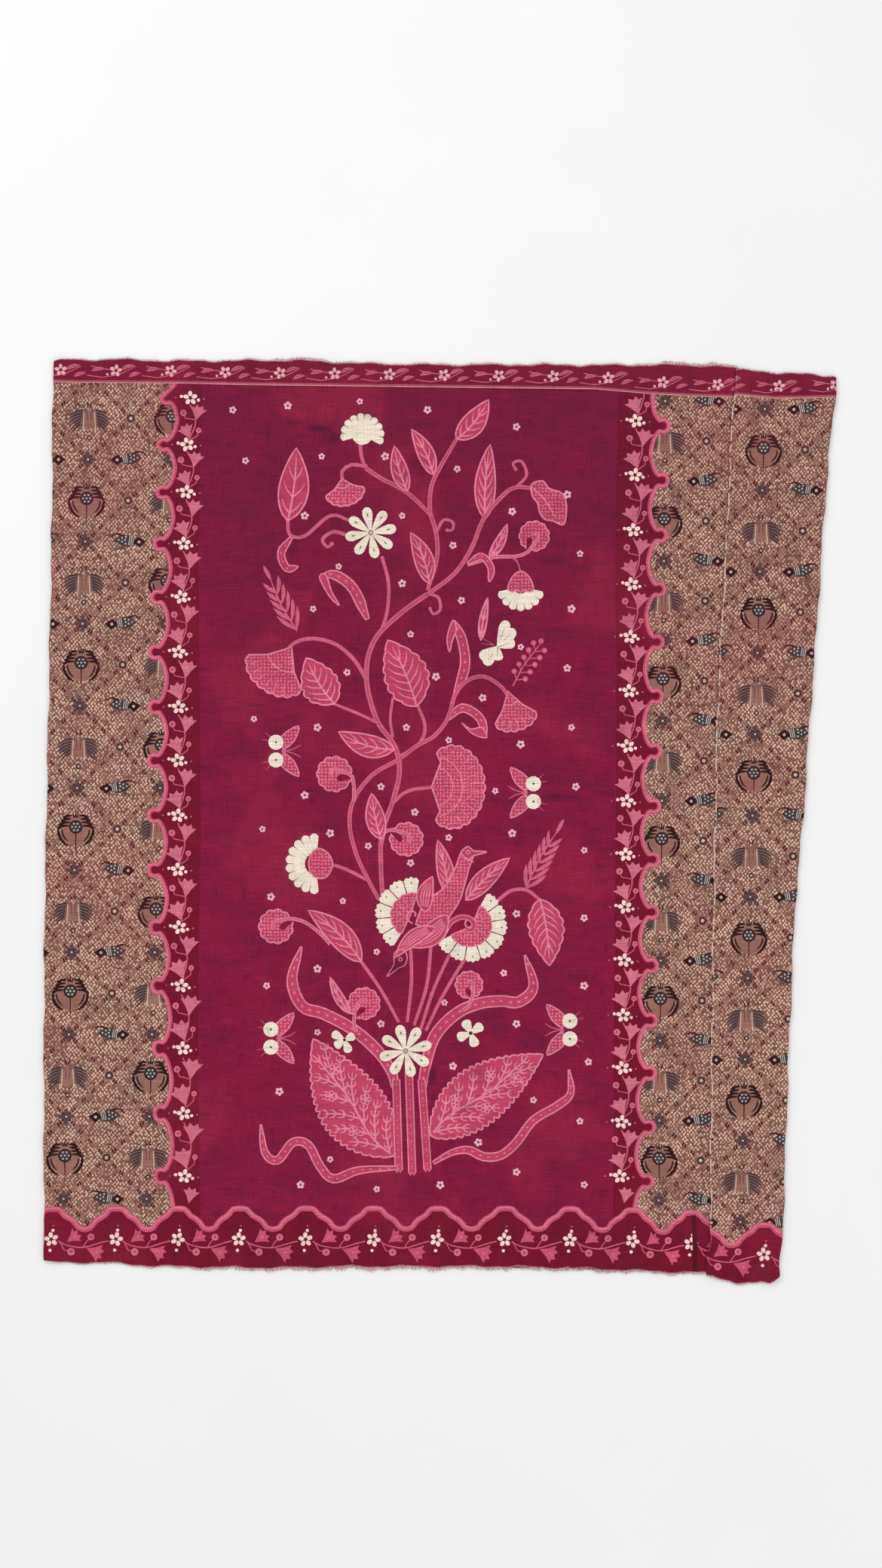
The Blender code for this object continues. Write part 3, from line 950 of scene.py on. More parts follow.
def tree_crown(drawing):
    """The upper third of the tree."""
    branch(drawing, (-9.5, 45), (-9.3, 43), (-8.8, 41.6), width=0.42)
    branch(drawing, (-8.8, 41.6), (-7, 40.4), (-4, 38.8), (-1.2, 36.2))
    branch(drawing, (-8.6, 41.8), (-10.5, 42), (-11.6, 41.2), (-11.5, 40.1), width=0.42)
    cream_fan(drawing, -9.2 + 45.5j, 0.9, 2.55, -28, 196, 10, seeds=False)
    drawing.dot(-9.2 + 45.6j, 1.25, "cream", 12)
    fan_bloom(drawing, -11.6 + 40.3j, -10.9 + 37.3j, 57, 7, 0.35)
    branch(drawing, (-18, 35.8), (-17.8, 33.8), (-16, 33.6), (-13, 36), (-10.6, 35.4), width=0.42)
    leaf(drawing, -18.0 + 35.4j, -17 + 44j, 3.5, -0.03, veins=3)
    strap(drawing, ((-17.6, 33.4), (-18.8, 31.6), (-18.1, 29.8), (-16.8, 30)), 0.85)
    tendril(drawing, ((-10.7, 33.6), (-12.6, 34.1), (-13.9, 33.2), (-13.3, 32.3), (-12.8, 32.7)))
    branch(drawing, (-6.9, 31.2), (-6.1, 28), (-6.3, 24.5), (-7.2, 22), width=0.4)
    daisy(drawing, -8.2 + 34j, 3.05, 0.18)

    branch(drawing, (-1.2, 36.2), (-1.2, 38.5), (-0.6, 40.6), (1.9, 45))
    branch(drawing, (-1.3, 36.6), (-0.5, 34), (-0.4, 31), (-1.5, 27.2))
    tendril(drawing, ((-0.5, 34), (0.4, 35.5), (1.5, 35.2), (1.4, 34.3), (0.8, 34.3)), 0.36)
    tendril(drawing, ((-1.3, 26.8), (-0.2, 26.3), (0, 24.9), (-0.8, 24.4), (-1.2, 25)), 0.36)
    leaf(drawing, -3.9 + 38.9j, -5.4 + 44.2j, 1.9, 0.04, veins=3)
    leaf(drawing, -0.8 + 40.8j, -3.4 + 46.2j, 1.9, -0.05, veins=3)
    leaf(drawing, 1.9 + 45j, 5.7 + 49.7j, 2.6, -0.06, veins=4)
    leaf(drawing, 5.3 + 35.6j, 5.9 + 44.4j, 2.4, 0.03, veins=5)
    leaf(drawing, -1.3 + 28j, -3.5 + 34j, 2.2, -0.06, veins=4)

    branch(drawing, (-1.5, 26.7), (1.7, 29.2), (3.7, 32.2), (5.1, 35.6), (7, 38), (8.7, 39.3), (10.9, 39.2),
           (12, 38.6))
    tendril(drawing, ((9, 39.4), (10.2, 40.8), (9.6, 42.4), (8.6, 42.2), (8.9, 41.5)), 0.36)
    lobed = at(((10.8, 39.7), (12.1, 40.1), (12.9, 39.2), (14.3, 38.7), (14.9, 37.3), (14.6, 35),
                (13.3, 35.4), (12.3, 35.6), (11.7, 36.5), (11.5, 37.5), (10.9, 38.3)))
    drawing.waxed(curve(lobed, 0.4, closed=True), "dotted_rose", "pale", 0.17)
    drawing.line(at(((11, 39.2), (12.4, 37.8), (13.6, 35.8))), 0.15, "pale", end=0.4)
    leaf(drawing, 5.8 + 31j, 7.9 + 35j, 1.15, -0.05, veins=3)
    curl_bloom(drawing, 11.1 + 33.6j, 1.75, 1, (3.2, 30.2), (6.4, 31.1), (9.0, 31.2), (10.3, 31.7))
    strap(drawing, ((3.3, 30.4), (4.9, 31.2), (6, 29.8), (5.8, 28.2)), 0.75)


def tree_shoulders(drawing):
    """The blooms, straps and leaves either side of the trunk at mid height."""
    branch(drawing, (7.9, 31.4), (9.0, 30.7), (9.5, 29.3), width=0.2)
    skirt_bloom(drawing, 9.5 + 27.6j, 2.8)
    moth = 6.8 + 20.5j
    for turn, length in ((71, 3.3), (46, 2.9), (18, 2.1), (212, 2.5), (234, 2.6), (268, 1.6)):
        tip = moth + cmath.rect(length, math.radians(turn))
        petal(drawing, moth, tip, 1.35, "cream", seed=False)
        drawing.line([moth, tip + (moth - tip) * 0.25], 0.09, "umber", end=0.3)
    for turn in (150, 172):
        drawing.line([6.4 + 20.7j, 6.4 + 20.7j + cmath.rect(1.6, math.radians(turn))], 0.1, "stem", end=0.4)
    strap(drawing, ((-8.6, 23.8), (-10.3, 27.4), (-12.4, 29), (-14, 28.9)), 1.15,
          folded=((-14.3, 28.8), (-13.5, 29), (-12.8, 27), (-11.9, 25.4), (-13.1, 26.5)))
    strap(drawing, ((1.8, 15), (2.9, 18.2), (2.6, 21.2), (1.6, 23.6)), 1.1,
          folded=((1.5, 23.7), (1.9, 22.6), (1.4, 21.2), (1.1, 19.9), (0.8, 21.6)))
    strap(drawing, ((0.9, 12), (2.6, 13.3), (4.6, 12.2), (5.4, 10.1)), 0.95,
          folded=((5.5, 9.8), (4.9, 11), (3.6, 10.8), (2.5, 11.6), (3.9, 10.2)))
    leaf(drawing, 4.8 + 21.3j, 5.6 + 26.3j, 0.9, 0.02, veins=2)
    sprig(drawing, -16.9 + 22.4j, -20.1 + 28.6j, 5, 0.5, 2.8)
    drawing.line(at(((8.6, 15.9), (9.8, 18.2), (11.9, 21))), 0.17, "stem", end=0.5)
    for k in range(5):
        for hand in (-1, 1):
            root = 9 + 16.6j + (2.5 + 3.7j) * k / 4.4
            berry = root + cmath.rect(1.05, 0.97 + hand * 0.85)
            drawing.line([root, berry], 0.1, "stem")
            drawing.dot(berry, 0.33, "stem", 8)
            drawing.dot(berry, 0.13, "dotted", 5)
    drawing.dot(11.9 + 21.2j, 0.33, "stem", 8)

    branch(drawing, (-1.6, 26.7), (-4.4, 24.7), (-7.3, 22), (-8.5, 19.4), (-8.7, 16.6), (-8.3, 14.3),
           (-7.3, 11.5), (-5.6, 9.2), (-4.9, 7.2), (-4.9, 5), (-5.7, 2), (-6.9, -1.6), (-7, -5.5), (-6.8, -9),
           width=0.6)
    branch(drawing, (-8.7, 16.6), (-10.1, 18.9), (-12.3, 20.8), (-15, 21.5), (-17.2, 21), (-18.4, 19.7),
           width=0.45)
    fan_bloom(drawing, -17.6 + 20.4j, -20.8 + 15.6j, 47, 8, 0.5)
    branch(drawing, (-7.3, 11.5), (-9.6, 12.6), (-12.6, 13.8), width=0.34)
    branch(drawing, (-5.6, 9.8), (-5.9, 12), (-5.6, 14.5), width=0.34)
    branch(drawing, (-4.7, 7.6), (-2.4, 9.2), (-1.8, 11.2), (-2.7, 13.7), width=0.4)
    leaf(drawing, -12.5 + 13.8j, -15.8 + 19.2j, 4.2, 0.05, 6, 5)
    leaf(drawing, -2.8 + 13.5j, -6.2 + 21.3j, 5.0, -0.04, 7, 6)
    leaf(drawing, -5.4 + 8.4j, -12 + 10.5j, 2.6, 0.08, veins=4)
    branch(drawing, (-4.9, 7.2), (-2.8, 8.8), (-0.7, 10), (0.9, 12.1), (1.8, 15), (3.3, 16.6), (5.2, 17),
           (7, 16), (8, 14.8), width=0.5)
    fan_bloom(drawing, 8 + 15.2j, 9.3 + 10.8j, 38, 6, 0.34)


def tree_heart(drawing):
    """The curled blooms and the great carnation above the bird."""
    branch(drawing, (-5.7, 2), (-3.8, 3.5), (-0.6, 4), width=0.42)
    fan_bloom(drawing, -0.9 + 4j, 5.1 + 3.9j, 84, 15, 0.4, 0.34)
    branch(drawing, (-4.9, 7.2), (-8, 5.4), (-10.2, 2.5), (-10.7, -0.5), (-9.9, -4), (-8.5, -7), (-7.2, -9.4),
           width=0.5)
    curl_bloom(drawing, -12.5 + 5.5j, 2.05, 1, (-10.2, 2.2), (-10.2, 4.0), (-10.4, 5.2))
    curl_bloom(drawing, -4.0 - 2.2j, 1.95, -1, (-6.9, -2.6), (-6.6, -1.4), (-5.8, -1.1))
    leaf(drawing, -7 - 2.2j, -8.1 + 3.2j, 2.2, 0.03, veins=4)
    branch(drawing, (-13.4, -5), (-11, -5.8), (-8.7, -7), width=0.4)
    cream_fan(drawing, -14.7 - 5.1j, 1.3, 3.5, 84, 276, 10, seeds=False)
    bud = at(((-1.0, 1.4), (-0.2, 1.85), (0.8, 1.3), (1.35, 0.3), (1.2, -0.8), (0.4, -1.7), (-0.7, -1.6),
              (-1.3, -0.8), (-1.4, 0.4)))
    drawing.waxed(curve(-14.1 - 5.1j + bud, 0.6, closed=True), "dotted_rose", "pale", 0.16)
    for middle, facing in ((-19.4 + 8.2j, 1), (11 + 3.3j, -1), (-20 - 25.7j, 1), (15.3 - 24.7j, -1)):
        butterfly(drawing, middle, facing)


def tree_bird(drawing):
    """The bird between two wedge flowers, with the stems that gather under it."""
    for top, bow, foot in (((-9.3, -16.7), (-7, -20), (-4.9, -23.8)),
                           ((-3.5, -15), (-3.4, -19), (-3.9, -23.8)),
                           ((-1.1, -14.8), (-1.6, -19.5), (-3.1, -24.2)),
                           ((1.2, -15.6), (-0.8, -20), (-2.3, -24.6)),
                           ((3.6, -15.2), (0.4, -20.5), (-1.7, -24.8))):
        branch(drawing, top, bow, foot, width=0.4)
    leaf(drawing, -9.3 - 16.7j, -15.6 - 10.6j, 2.8, -0.06, veins=5)
    curl_bloom(drawing, -19.4 - 12.5j, 2.0, 1, (-13, -14.6), (-14.3, -13.2), (-16, -12.0), (-17.4, -11.6))
    branch(drawing, (6.6, -9.6), (8.3, -8.3), (10.2, -8.2), (11.8, -9.4), width=0.42)
    sprig(drawing, 10.1 - 8.1j, 13.8 - 1.3j, 6, 0.5, 2.8)
    leaf(drawing, 11.8 - 9.3j, 12.9 - 17.1j, 4.0, 0.03, 7, 6)
    leaf(drawing, 1.1 - 8.9j, -0.3 - 2.3j, 1.9, -0.02, veins=5)
    leaf(drawing, 3.0 - 9.4j, 8.2 - 4.4j, 2.2, 0.03, veins=5)
    half_daisy(drawing, -3.2 - 11.2j, 4.5, 80, 238, 6)
    half_daisy(drawing, 3.5 - 12.3j, 4.4, -152, 62, 8, whorl=-1)
    hook = at(((0.2, -13.8), (1.2, -12.1), (2.5, -11.4), (3.7, -11.7), (4.0, -12.6), (3.4, -13.0),
               (3.0, -12.6)))
    for width, dye in ((0.62, "pale"), (0.4, "rose")):
        drawing.line(hook, width, dye, end=0.6)
    song_bird(drawing, -1.6 - 12.9j, 1.5 - 8.4j, 3.2 - 3.9j, 5.5 - 3.7j)
    hatched_wing(drawing, -1.8 - 10.8j, -0.9 - 6.6j, 1.9, 0.1)
    hatched_wing(drawing, 0.9 - 11.2j, -4.2 - 14.8j, 2.5, 0.12, 5)
    hatched_wing(drawing, -0.6 - 12.6j, -5.3 - 16.2j, 1.7, -0.1, 4)
    crest = curve(at(((-5.4, -15.6), (-4.5, -15.2), (-3.9, -16), (-4.2, -17.1), (-4.9, -17.4), (-6.3, -18.4),
                      (-5.5, -17))), 0.5, closed=True)
    drawing.fill(ribbon(crest, 0.13, closed=True), "pale")
    drawing.dot(-4.7 - 16.4j, 0.27, "pale", 8)
    drawing.dot(-4.7 - 16.4j, 0.15, "field", 6)


def tree_foot(drawing):
    """The ribbons, great leaves and stalks that the tree stands on."""
    for points in (
        ((-5.3, -31.4), (-5.8, -29.6), (-7.4, -27.2), (-10.4, -24.6), (-13.8, -22.8), (-16.3, -21.9),
         (-17.5, -18.8), (-16.4, -14.9)),
        ((-2.1, -31.4), (-1.7, -28.9), (-0.6, -25.4), (1.9, -22.8), (4.6, -21.6), (7.2, -21.3), (9.3, -21.4),
         (11, -19.6), (10, -15.9)),
    ):
        strap(drawing, points, 1.3, start=0.7)
    curl_bloom(drawing, -9.0 - 21.6j, 1.85, -1, (-9.9, -25), (-10.2, -23.9), (-10.1, -23.0))
    curl_bloom(drawing, 3.4 - 19.4j, 1.6, 1, (2.6, -22.4), (3.4, -21.9), (3.7, -20.9))
    leaf(drawing, -10.6 - 22.8j, -13 - 18.5j, 1.1, 0.05, veins=3)
    small_flower(drawing, 3.6 - 25.1j, 1.2, ((35, 1.7), (115, 1.7), (200, 1.7), (290, 1.7)), 0.25)
    great_leaf(drawing, -5.5 - 39.6j, -15 - 25.8j, 7.6, 0.05)
    great_leaf(drawing, -1.1 - 37.2j, 12.1 - 27.6j, 6.6, 0.03)
    small_flower(drawing, -11.3 - 25.9j, 1.05, ((150, 1.7), (215, 1.4), (290, 1.6), (25, 1.3)), 0.2)
    for top, foot in ((-5.2 - 30.6j, -4.9 - 41.2j), (-3.7 - 29.6j, -3.3 - 41.5j),
                      (-2.2 - 30.6j, -1.5 - 41.1j)):
        ahead = foot - top
        side = 1j * ahead / abs(ahead) * 0.42
        tooth = ahead * 0.03
        jag = [foot + side, foot + side * 0.4 + tooth, foot, foot - side * 0.5 + tooth, foot - side]
        drawing.waxed([top + side, *jag, top - side], "rose", "pale", 0.14)
        for k in range(12):
            drawing.dot(top + ahead * (k + 0.6) / 12.3, 0.1, "dotted", 5)
    strap(drawing, ((-5, -41), (-9.6, -41.3), (-12.6, -42.3), (-14.2, -40.8), (-15.6, -38.3), (-17.4, -38),
                    (-19.2, -40.1), (-20.7, -39.2), (-21.2, -35.9)), 0.95)
    strap(drawing, ((-0.8, -40.4), (1.4, -39.2), (3.3, -38.9), (5.2, -39.7), (7.2, -39.5), (9, -38),
                    (11, -35.4), (13.8, -33.7), (15.4, -32.2), (15.2, -29.4)), 0.95)
    daisy(drawing, -4.1 - 27.2j, 3.15, 0.25)


def draw_tree(drawing):
    """The strewn flowers, then the tree over them from its crown down, and its bird last."""
    for k, (x, y) in enumerate(STRAYS):
        star_flower(drawing, complex(x, y), 0.5 + 0.06 * math.sin(k * 2.3), 0.3 * k)
    tree_crown(drawing)
    tree_shoulders(drawing)
    tree_heart(drawing)
    tree_foot(drawing)
    tree_bird(drawing)


# ------------------------------------------------------------------ the three stretches' drawings

LEFT_FLOWERS = at(((-29.5, 49.9), (-29.9, 44.4), (-30, 38.8), (-30.3, 32.7), (-30.6, 26.4), (-30.9, 19.9),
                   (-30.9, 13.4), (-31, 7.1), (-31, 0.6), (-31, -5.8), (-30.8, -12.6), (-30.6, -19.5),
                   (-30.4, -26.9), (-30.3, -34.6), (-30.2, -42)))
RIGHT_FLOWERS = at(((23.1, 47.2), (23, 40.8), (22.8, 34.3), (22.6, 27.9), (22.4, 21.7), (22.3, 15.3),
                    (22.1, 8.8), (22, 2.3), (21.9, -4), (21.8, -10.2), (21.7, -16.5), (21.6, -23),
                    (21.5, -29.2), (21.4, -35.6), (21.2, -42)))
FOOT_PEAKS = (-53.6, -45.8, -38.2, -30.9, -23.7, -15.8, -7.8, -0.3, 7.7, 15.4, 22.8, 29.7, 37.4)
LAP_PEAKS = (30.5, 38.3, 46.0, 53.6)
WAIST_LINE = ((-48, 51.9), (-30.6, 51.8), (-22.7, 51.6), (18.3, 51.1), (25.4, 50.5), (29.3, 50.3), (36, 50.1))


def foot_border(drawing, peaks, knob_level, flower_level, hem_level):
    """The scalloped border along the hem."""
    knobs = np.array([complex(x, np.interp(x, *knob_level)) for x in peaks])
    line = scallop_line(knobs, 1j, FOOT_SCALLOP)
    ends = [complex(line[-1].real, hem_level), complex(line[0].real, hem_level)]
    drawing.fill(np.concatenate([line, ends]), "border")
    scallop_band(drawing, line, 1j, 0.66)
    foot_vine(drawing, [complex(x - 0.1, np.interp(x, *flower_level)) for x in peaks])


def waist_border(drawing, line, repeat):
    """The waist band over its pale line."""
    path = at(line)
    lid = [complex(path[-1].real, 56), complex(path[0].real, 56)]
    drawing.fill(np.concatenate([path, lid]), "waist")
    drawing.fill(ribbon(path, 0.3), "waist_line")
    drawing.fill(ribbon(path - 0.12j, 0.1), "waist_line_pale")
    waist_vine(drawing, path + 1.3j, repeat)


def draw_main():
    """The front from the left fold to the seam: a strip of lattice, the tree in its borders, more lattice."""
    drawing = Drawing()
    lattice(drawing, -42.4 + 18.4j, 9.7, 0.033, (-47.4, -48.5), (-31.4, 51.8))
    lattice(drawing, 26.3 + 16.5j, 9.44, 0.008, (24.9, -48.5), (35.2, 50.4))
    left_knobs = np.concatenate([LEFT_FLOWERS - 2.65, [-32.8 - 49.5j]])
    right_knobs = np.concatenate([[26.4 + 53.4j], RIGHT_FLOWERS + 3.1 - 0.6j, [24.2 - 49j]])
    left, right = scallop_line(left_knobs, -1), scallop_line(right_knobs, 1)
    left = np.concatenate([[-31 + 53j, -31.4 + 51.4j], left])
    drawing.fill(np.concatenate([left, right[::-1]]), "border")
    scallop_band(drawing, left, -1)
    scallop_band(drawing, right, 1)
    drawing.fill(at(((-28.2, 51.4), (-28.5, 30), (-28.3, 0), (-28.6, -25), (-28.3, -48.5), (20.4, -48.5),
                     (20.5, -20), (20.8, 5), (20.7, 30), (21, 50.6))), "field")
    side_vine(drawing, LEFT_FLOWERS)
    side_vine(drawing, np.concatenate([[23.4 + 53.6j], RIGHT_FLOWERS]))
    tulip(drawing, 0.5 + LEFT_FLOWERS[-1] - 3.2j, 0.9 + LEFT_FLOWERS[-1] - 1.4j)
    tulip(drawing, 0.5 + RIGHT_FLOWERS[-1] - 3.2j, 0.9 + RIGHT_FLOWERS[-1] - 1.4j)
    draw_tree(drawing)
    foot_border(drawing, FOOT_PEAKS, ((-50, 10, 22, 36), (-46.8, -46.7, -46.9, -47.6)),
                ((-50, 10, 22, 36), (-49.4, -49.5, -49.6, -50.3)), -56)
    # A dark strip by the open seam at the foot: painted shadow in the gap of the seam.
    seam_foot_shadow = at(((29.6, -46.6), (30.2, -46.6), (30.4, -50), (30.3, -54.5), (29.7, -54.5), (29.8, -50)))
    drawing.fill(seam_foot_shadow, "shade")
    waist_border(drawing, WAIST_LINE, 6.3)
    return drawing


def draw_lap():
    """The front from the seam to the right fold."""
    drawing = Drawing()
    lattice(drawing, 37.6 + 24.6j, 9.6, 0.030, (31.2, -49.6), (47.6, 50.4))
    # A broken pale line along the lap's edge at the seam: wear, with a painted highlight on the turned edge.
    chance = random.Random(5)
    y = -49.0
    while y < 50:
        length = chance.uniform(0.3, 1.8)
        rows = np.array([y, y + length])
        drawing.fill(ribbon(side_line("seam", rows / 100) * 100 + 0.07 + 1j * rows, 0.16), "seam_wear_and_highlight")
        y += length + chance.uniform(0.1, 0.9)
    foot_border(drawing, LAP_PEAKS, ((30, 50), (-48.6, -48.8)), ((30, 50), (-51.1, -51.4)), -57)
    waist_border(drawing, ((30, 50.5), (35, 50.4), (39.6, 50.0), (46.6, 50.1), (50, 50.1)), 5.8)
    return drawing


def draw_back():
    """The back, all lattice between the waist band and the foot border."""
    drawing = Drawing(fine=False)
    lattice(drawing, 3.1 + 5.2j, 9.65, 0.0, (-46.8, -48.6), (46.2, 51.4))
    peaks = [-53.4 + 7.62 * k for k in range(15)]
    foot_border(drawing, peaks, ((-50, 50), (-47.9, -46.9)), ((-50, 50), (-50.5, -49.4)), -57)
    waist_border(drawing, ((-49, 50.2), (-10, 50.9), (20, 51.4), (49, 51.9)), 6.3)
    return drawing


# ------------------------------------------------------------------ sizes and dyes a user would change


def dyed(red, green, blue):
    """A colour from its screen values, 0 to 255, as the linear light that shaders use."""
    return tuple(((v / 255 + 0.055) / 1.055) ** 2.4 if v > 10 else v / 3294.6 for v in (red, green, blue))


def colour_property(name, description, colour):
    """A dye that can be chosen, starting from its red, green and blue out of 255."""
    return FloatVectorProperty(name=name, description=description, subtype="COLOR", size=3, min=0, max=1,
                               default=dyed(*colour))


class SarongDyes(bpy.types.PropertyGroup):
    """The dye baths."""

    field: colour_property("Field", "Crimson ground behind the tree", (134, 19, 60))
    border: colour_property("Border", "Deeper crimson of the borders", (116, 8, 40))
    rose: colour_property("Rose", "Leaves and petals dyed once", (194, 66, 100))
    pale: colour_property("Wax line", "Lines kept pale by wax", (224, 130, 154))
    cream: colour_property("Cream", "Undyed flowers", (236, 222, 204))
    ground: colour_property("Ground", "Patterned ground between its dots", (130, 88, 78))
    dots: colour_property("Dots", "Wax dots of the patterned ground", (228, 190, 168))
    ink: colour_property("Ink", "Darkest lines of the patterned ground", (40, 16, 20))


class SarongSizes(bpy.types.PropertyGroup):
    """The sizes of the cloth's own detail."""

    crease_depth: FloatProperty(name="Crease depth", description="Share of the creases' own heights",
                                default=1.0, min=0, max=1.5, subtype="FACTOR")
    front_mesh: FloatProperty(name="Front mesh", description="Spacing of the plain mesh in the front",
                              default=0.0065, min=0.004, max=0.03, unit="LENGTH")
    back_mesh: FloatProperty(name="Back mesh", description="Spacing of the plain mesh in the back",
                             default=0.015, min=0.004, max=0.04, unit="LENGTH")
    thread: FloatProperty(name="Thread", description="Thickness of a loose thread end",
                          default=0.0005, min=0.0002, max=0.001, unit="LENGTH")
    stitch: FloatProperty(name="Stitch", description="Length of a stitch of the seam",
                          default=0.0034, min=0.001, max=0.01, unit="LENGTH")
    dot_spacing: FloatProperty(name="Dot spacing", description="Distance between the ground's wax dots",
                               default=0.0035, min=0.002, max=0.01, unit="LENGTH")
    petal_dots: FloatProperty(name="Petal dots", description="Distance between the dots that fill a petal",
                              default=0.0040, min=0.002, max=0.01, unit="LENGTH")


def sizes():
    """The sizes chosen in the panel."""
    return bpy.context.scene.sarong_sizes


def dyes():
    """The dyes chosen in the panel."""
    return bpy.context.scene.sarong_dyes


def dye_table():
    """Each dye as red, green, blue, the ground's wax dots, how far it mottles, and a petal's finer dots.

    The first is the ground's, which shows where nothing else is drawn.
    """
    own = dyes()
    field, border, rose, pale = (tuple(bath) for bath in (own.field, own.border, own.rose, own.pale))
    cream, ground, ink = tuple(own.cream), tuple(own.ground), tuple(own.ink)
    return {
        "tan": (*ground, 1, 0.3),
        "field": (*field, 0, 1),
        "border": (*border, 0, 0.7),
        "waist": (*dyed(126, 20, 50), 0, 0.5),
        "waist_line": (*dyed(172, 82, 100), 0, 0.3),
        "waist_line_pale": (*dyed(212, 150, 150), 0, 0.2),
        "waist_rose": (*dyed(178, 76, 104), 0, 0.2),
        # painted shadow, for the strip by the open seam at the foot
        "shade": (*dyed(84, 10, 26), 0, 0.3),
        "rose": (*rose, 0, 0.35),
        "dotted_rose": (*rose, 0, 0.35, 1),
        "stem": (*dyed(206, 98, 126), 0, 0.2),
        "pale": (*pale, 0, 0.1),
        "dotted": (*dyed(222, 118, 144), 0, 0.1),
        "tulip": (*dyed(210, 112, 134), 0, 0.3),
        "cream": (*cream, 0, 0.05),
        "sand": (*dyed(208, 172, 138), 0, 0.1),
        "umber": (*dyed(84, 44, 38), 0, 0.1),
        "blossom": (*dyed(232, 178, 188), 0, 0.1),
        "petal_white": (*dyed(250, 216, 210), 0, 0.05),
        "scallop": (*dyed(200, 84, 114), 0, 0.3),
        "scallop_light": (*dyed(216, 116, 138), 0, 0.2),
        "band": (*dyed(150, 106, 94), 0, 0.3),
        "ink": (*ink, 0, 0.2),
        "ink_soft": (*dyed(62, 46, 50), 0, 0.2),
        "maroon": (*dyed(70, 18, 22), 0, 0.2),
        "umber_line": (*dyed(110, 62, 60), 0, 0.1),
        "slate": (*dyed(62, 56, 60), 0, 0.2),
        "slate_light": (*dyed(190, 182, 172), 0, 0.1),
        "slate_warm": (*dyed(88, 68, 70), 0, 0.2),
        "wing_grey": (*dyed(116, 90, 86), 0, 0.2),
        "tan_pale": (*dyed(202, 170, 154), 0, 0.1),
        "vine_stem": (*dyed(202, 96, 122), 0, 0.1),
        "waist_flower": (*dyed(232, 170, 178), 0, 0.1),
        # wear and a painted highlight along the lap's edge at the seam
        "seam_wear_and_highlight": (*dyed(214, 186, 172), 0, 0.1),
    }


# ------------------------------------------------------------------ finishes


class Value:
    """A node's output. Arithmetic on it adds Math nodes to its finish."""

    def __init__(self, finish, socket):
        self.finish, self.socket = finish, socket

    def worked(self, operation, *values):
        return self.finish.node("Math", {"operation": operation}, dict(enumerate(values)))

    def __add__(self, other):
        return self.worked("ADD", self, other)

    def __mul__(self, other):
        return self.worked("MULTIPLY", self, other)

    def __sub__(self, other):
        return self.worked("SUBTRACT", self, other)

    def __rsub__(self, other):
        return self.worked("SUBTRACT", other, self)

    __radd__, __rmul__ = __add__, __mul__


class Finish:
    """A material, whose nodes are added one by one."""

    def __init__(self, name, roughness, sheen):
        self.material = bpy.data.materials.new(name)
        self.material.use_nodes = True
        self.nodes, self.links = self.material.node_tree.nodes, self.material.node_tree.links
        self.shader = self.nodes["Principled BSDF"]
        self.shader.inputs["Roughness"].default_value = roughness
        self.shader.inputs["Sheen Weight"].default_value = sheen
        self.shader.inputs["Sheen Roughness"].default_value = 0.5
        self.shader.inputs["Specular IOR Level"].default_value = 0.15

    def node(self, kind, settings=None, inputs=None, output=0):
        """Adds a node, sets it up, then gives its sockets values or links."""
        node = self.nodes.new("ShaderNode" + kind)
        for name, value in (settings or {}).items():
            setattr(node, name, value)
        for name, value in (inputs or {}).items():
            self.feed(node.inputs[name], value)
        return Value(self, node.outputs[output])

    def feed(self, socket, value):
        if isinstance(value, Value):
            self.links.new(value.socket, socket)
        else:
            socket.default_value = value

    def noise(self, vector, scale, detail=2.0, roughness=0.5):
        return self.node("TexNoise", {"noise_dimensions": "2D"},
                         {"Vector": vector, "Scale": scale, "Detail": detail, "Roughness": roughness})

    def stretched(self, vector, across, along, turn=0.0):
        """Coordinates scaled by different amounts along and across the cloth."""
        return self.node("Mapping", None, {"Vector": vector, "Scale": (across, along, 1),
                                           "Rotation": (0, 0, turn)})

    def ranged(self, value, low, high, start=0.0, end=1.0):
        """A smooth step of value from low to high, as start to end."""
        return self.node("MapRange", {"interpolation_type": "SMOOTHSTEP"},
                         {"Value": value, "From Min": low, "From Max": high, "To Min": start, "To Max": end})

    def blended(self, first, second, share):
        """One colour laid over another; the Mix node numbers its colour sockets 6 and 7 in, 2 out."""
        return self.node("Mix", {"data_type": "RGBA"}, {0: share, 6: first, 7: second}, 2)

    def lit(self, colour, share):
        """A colour made lighter or darker by a share of itself."""
        return self.node("VectorMath", {"operation": "SCALE"}, {0: colour, "Scale": share})

    def bump(self, height, distance, strength=1.0):
        return self.node("Bump", None, {"Height": height, "Distance": distance, "Strength": strength})


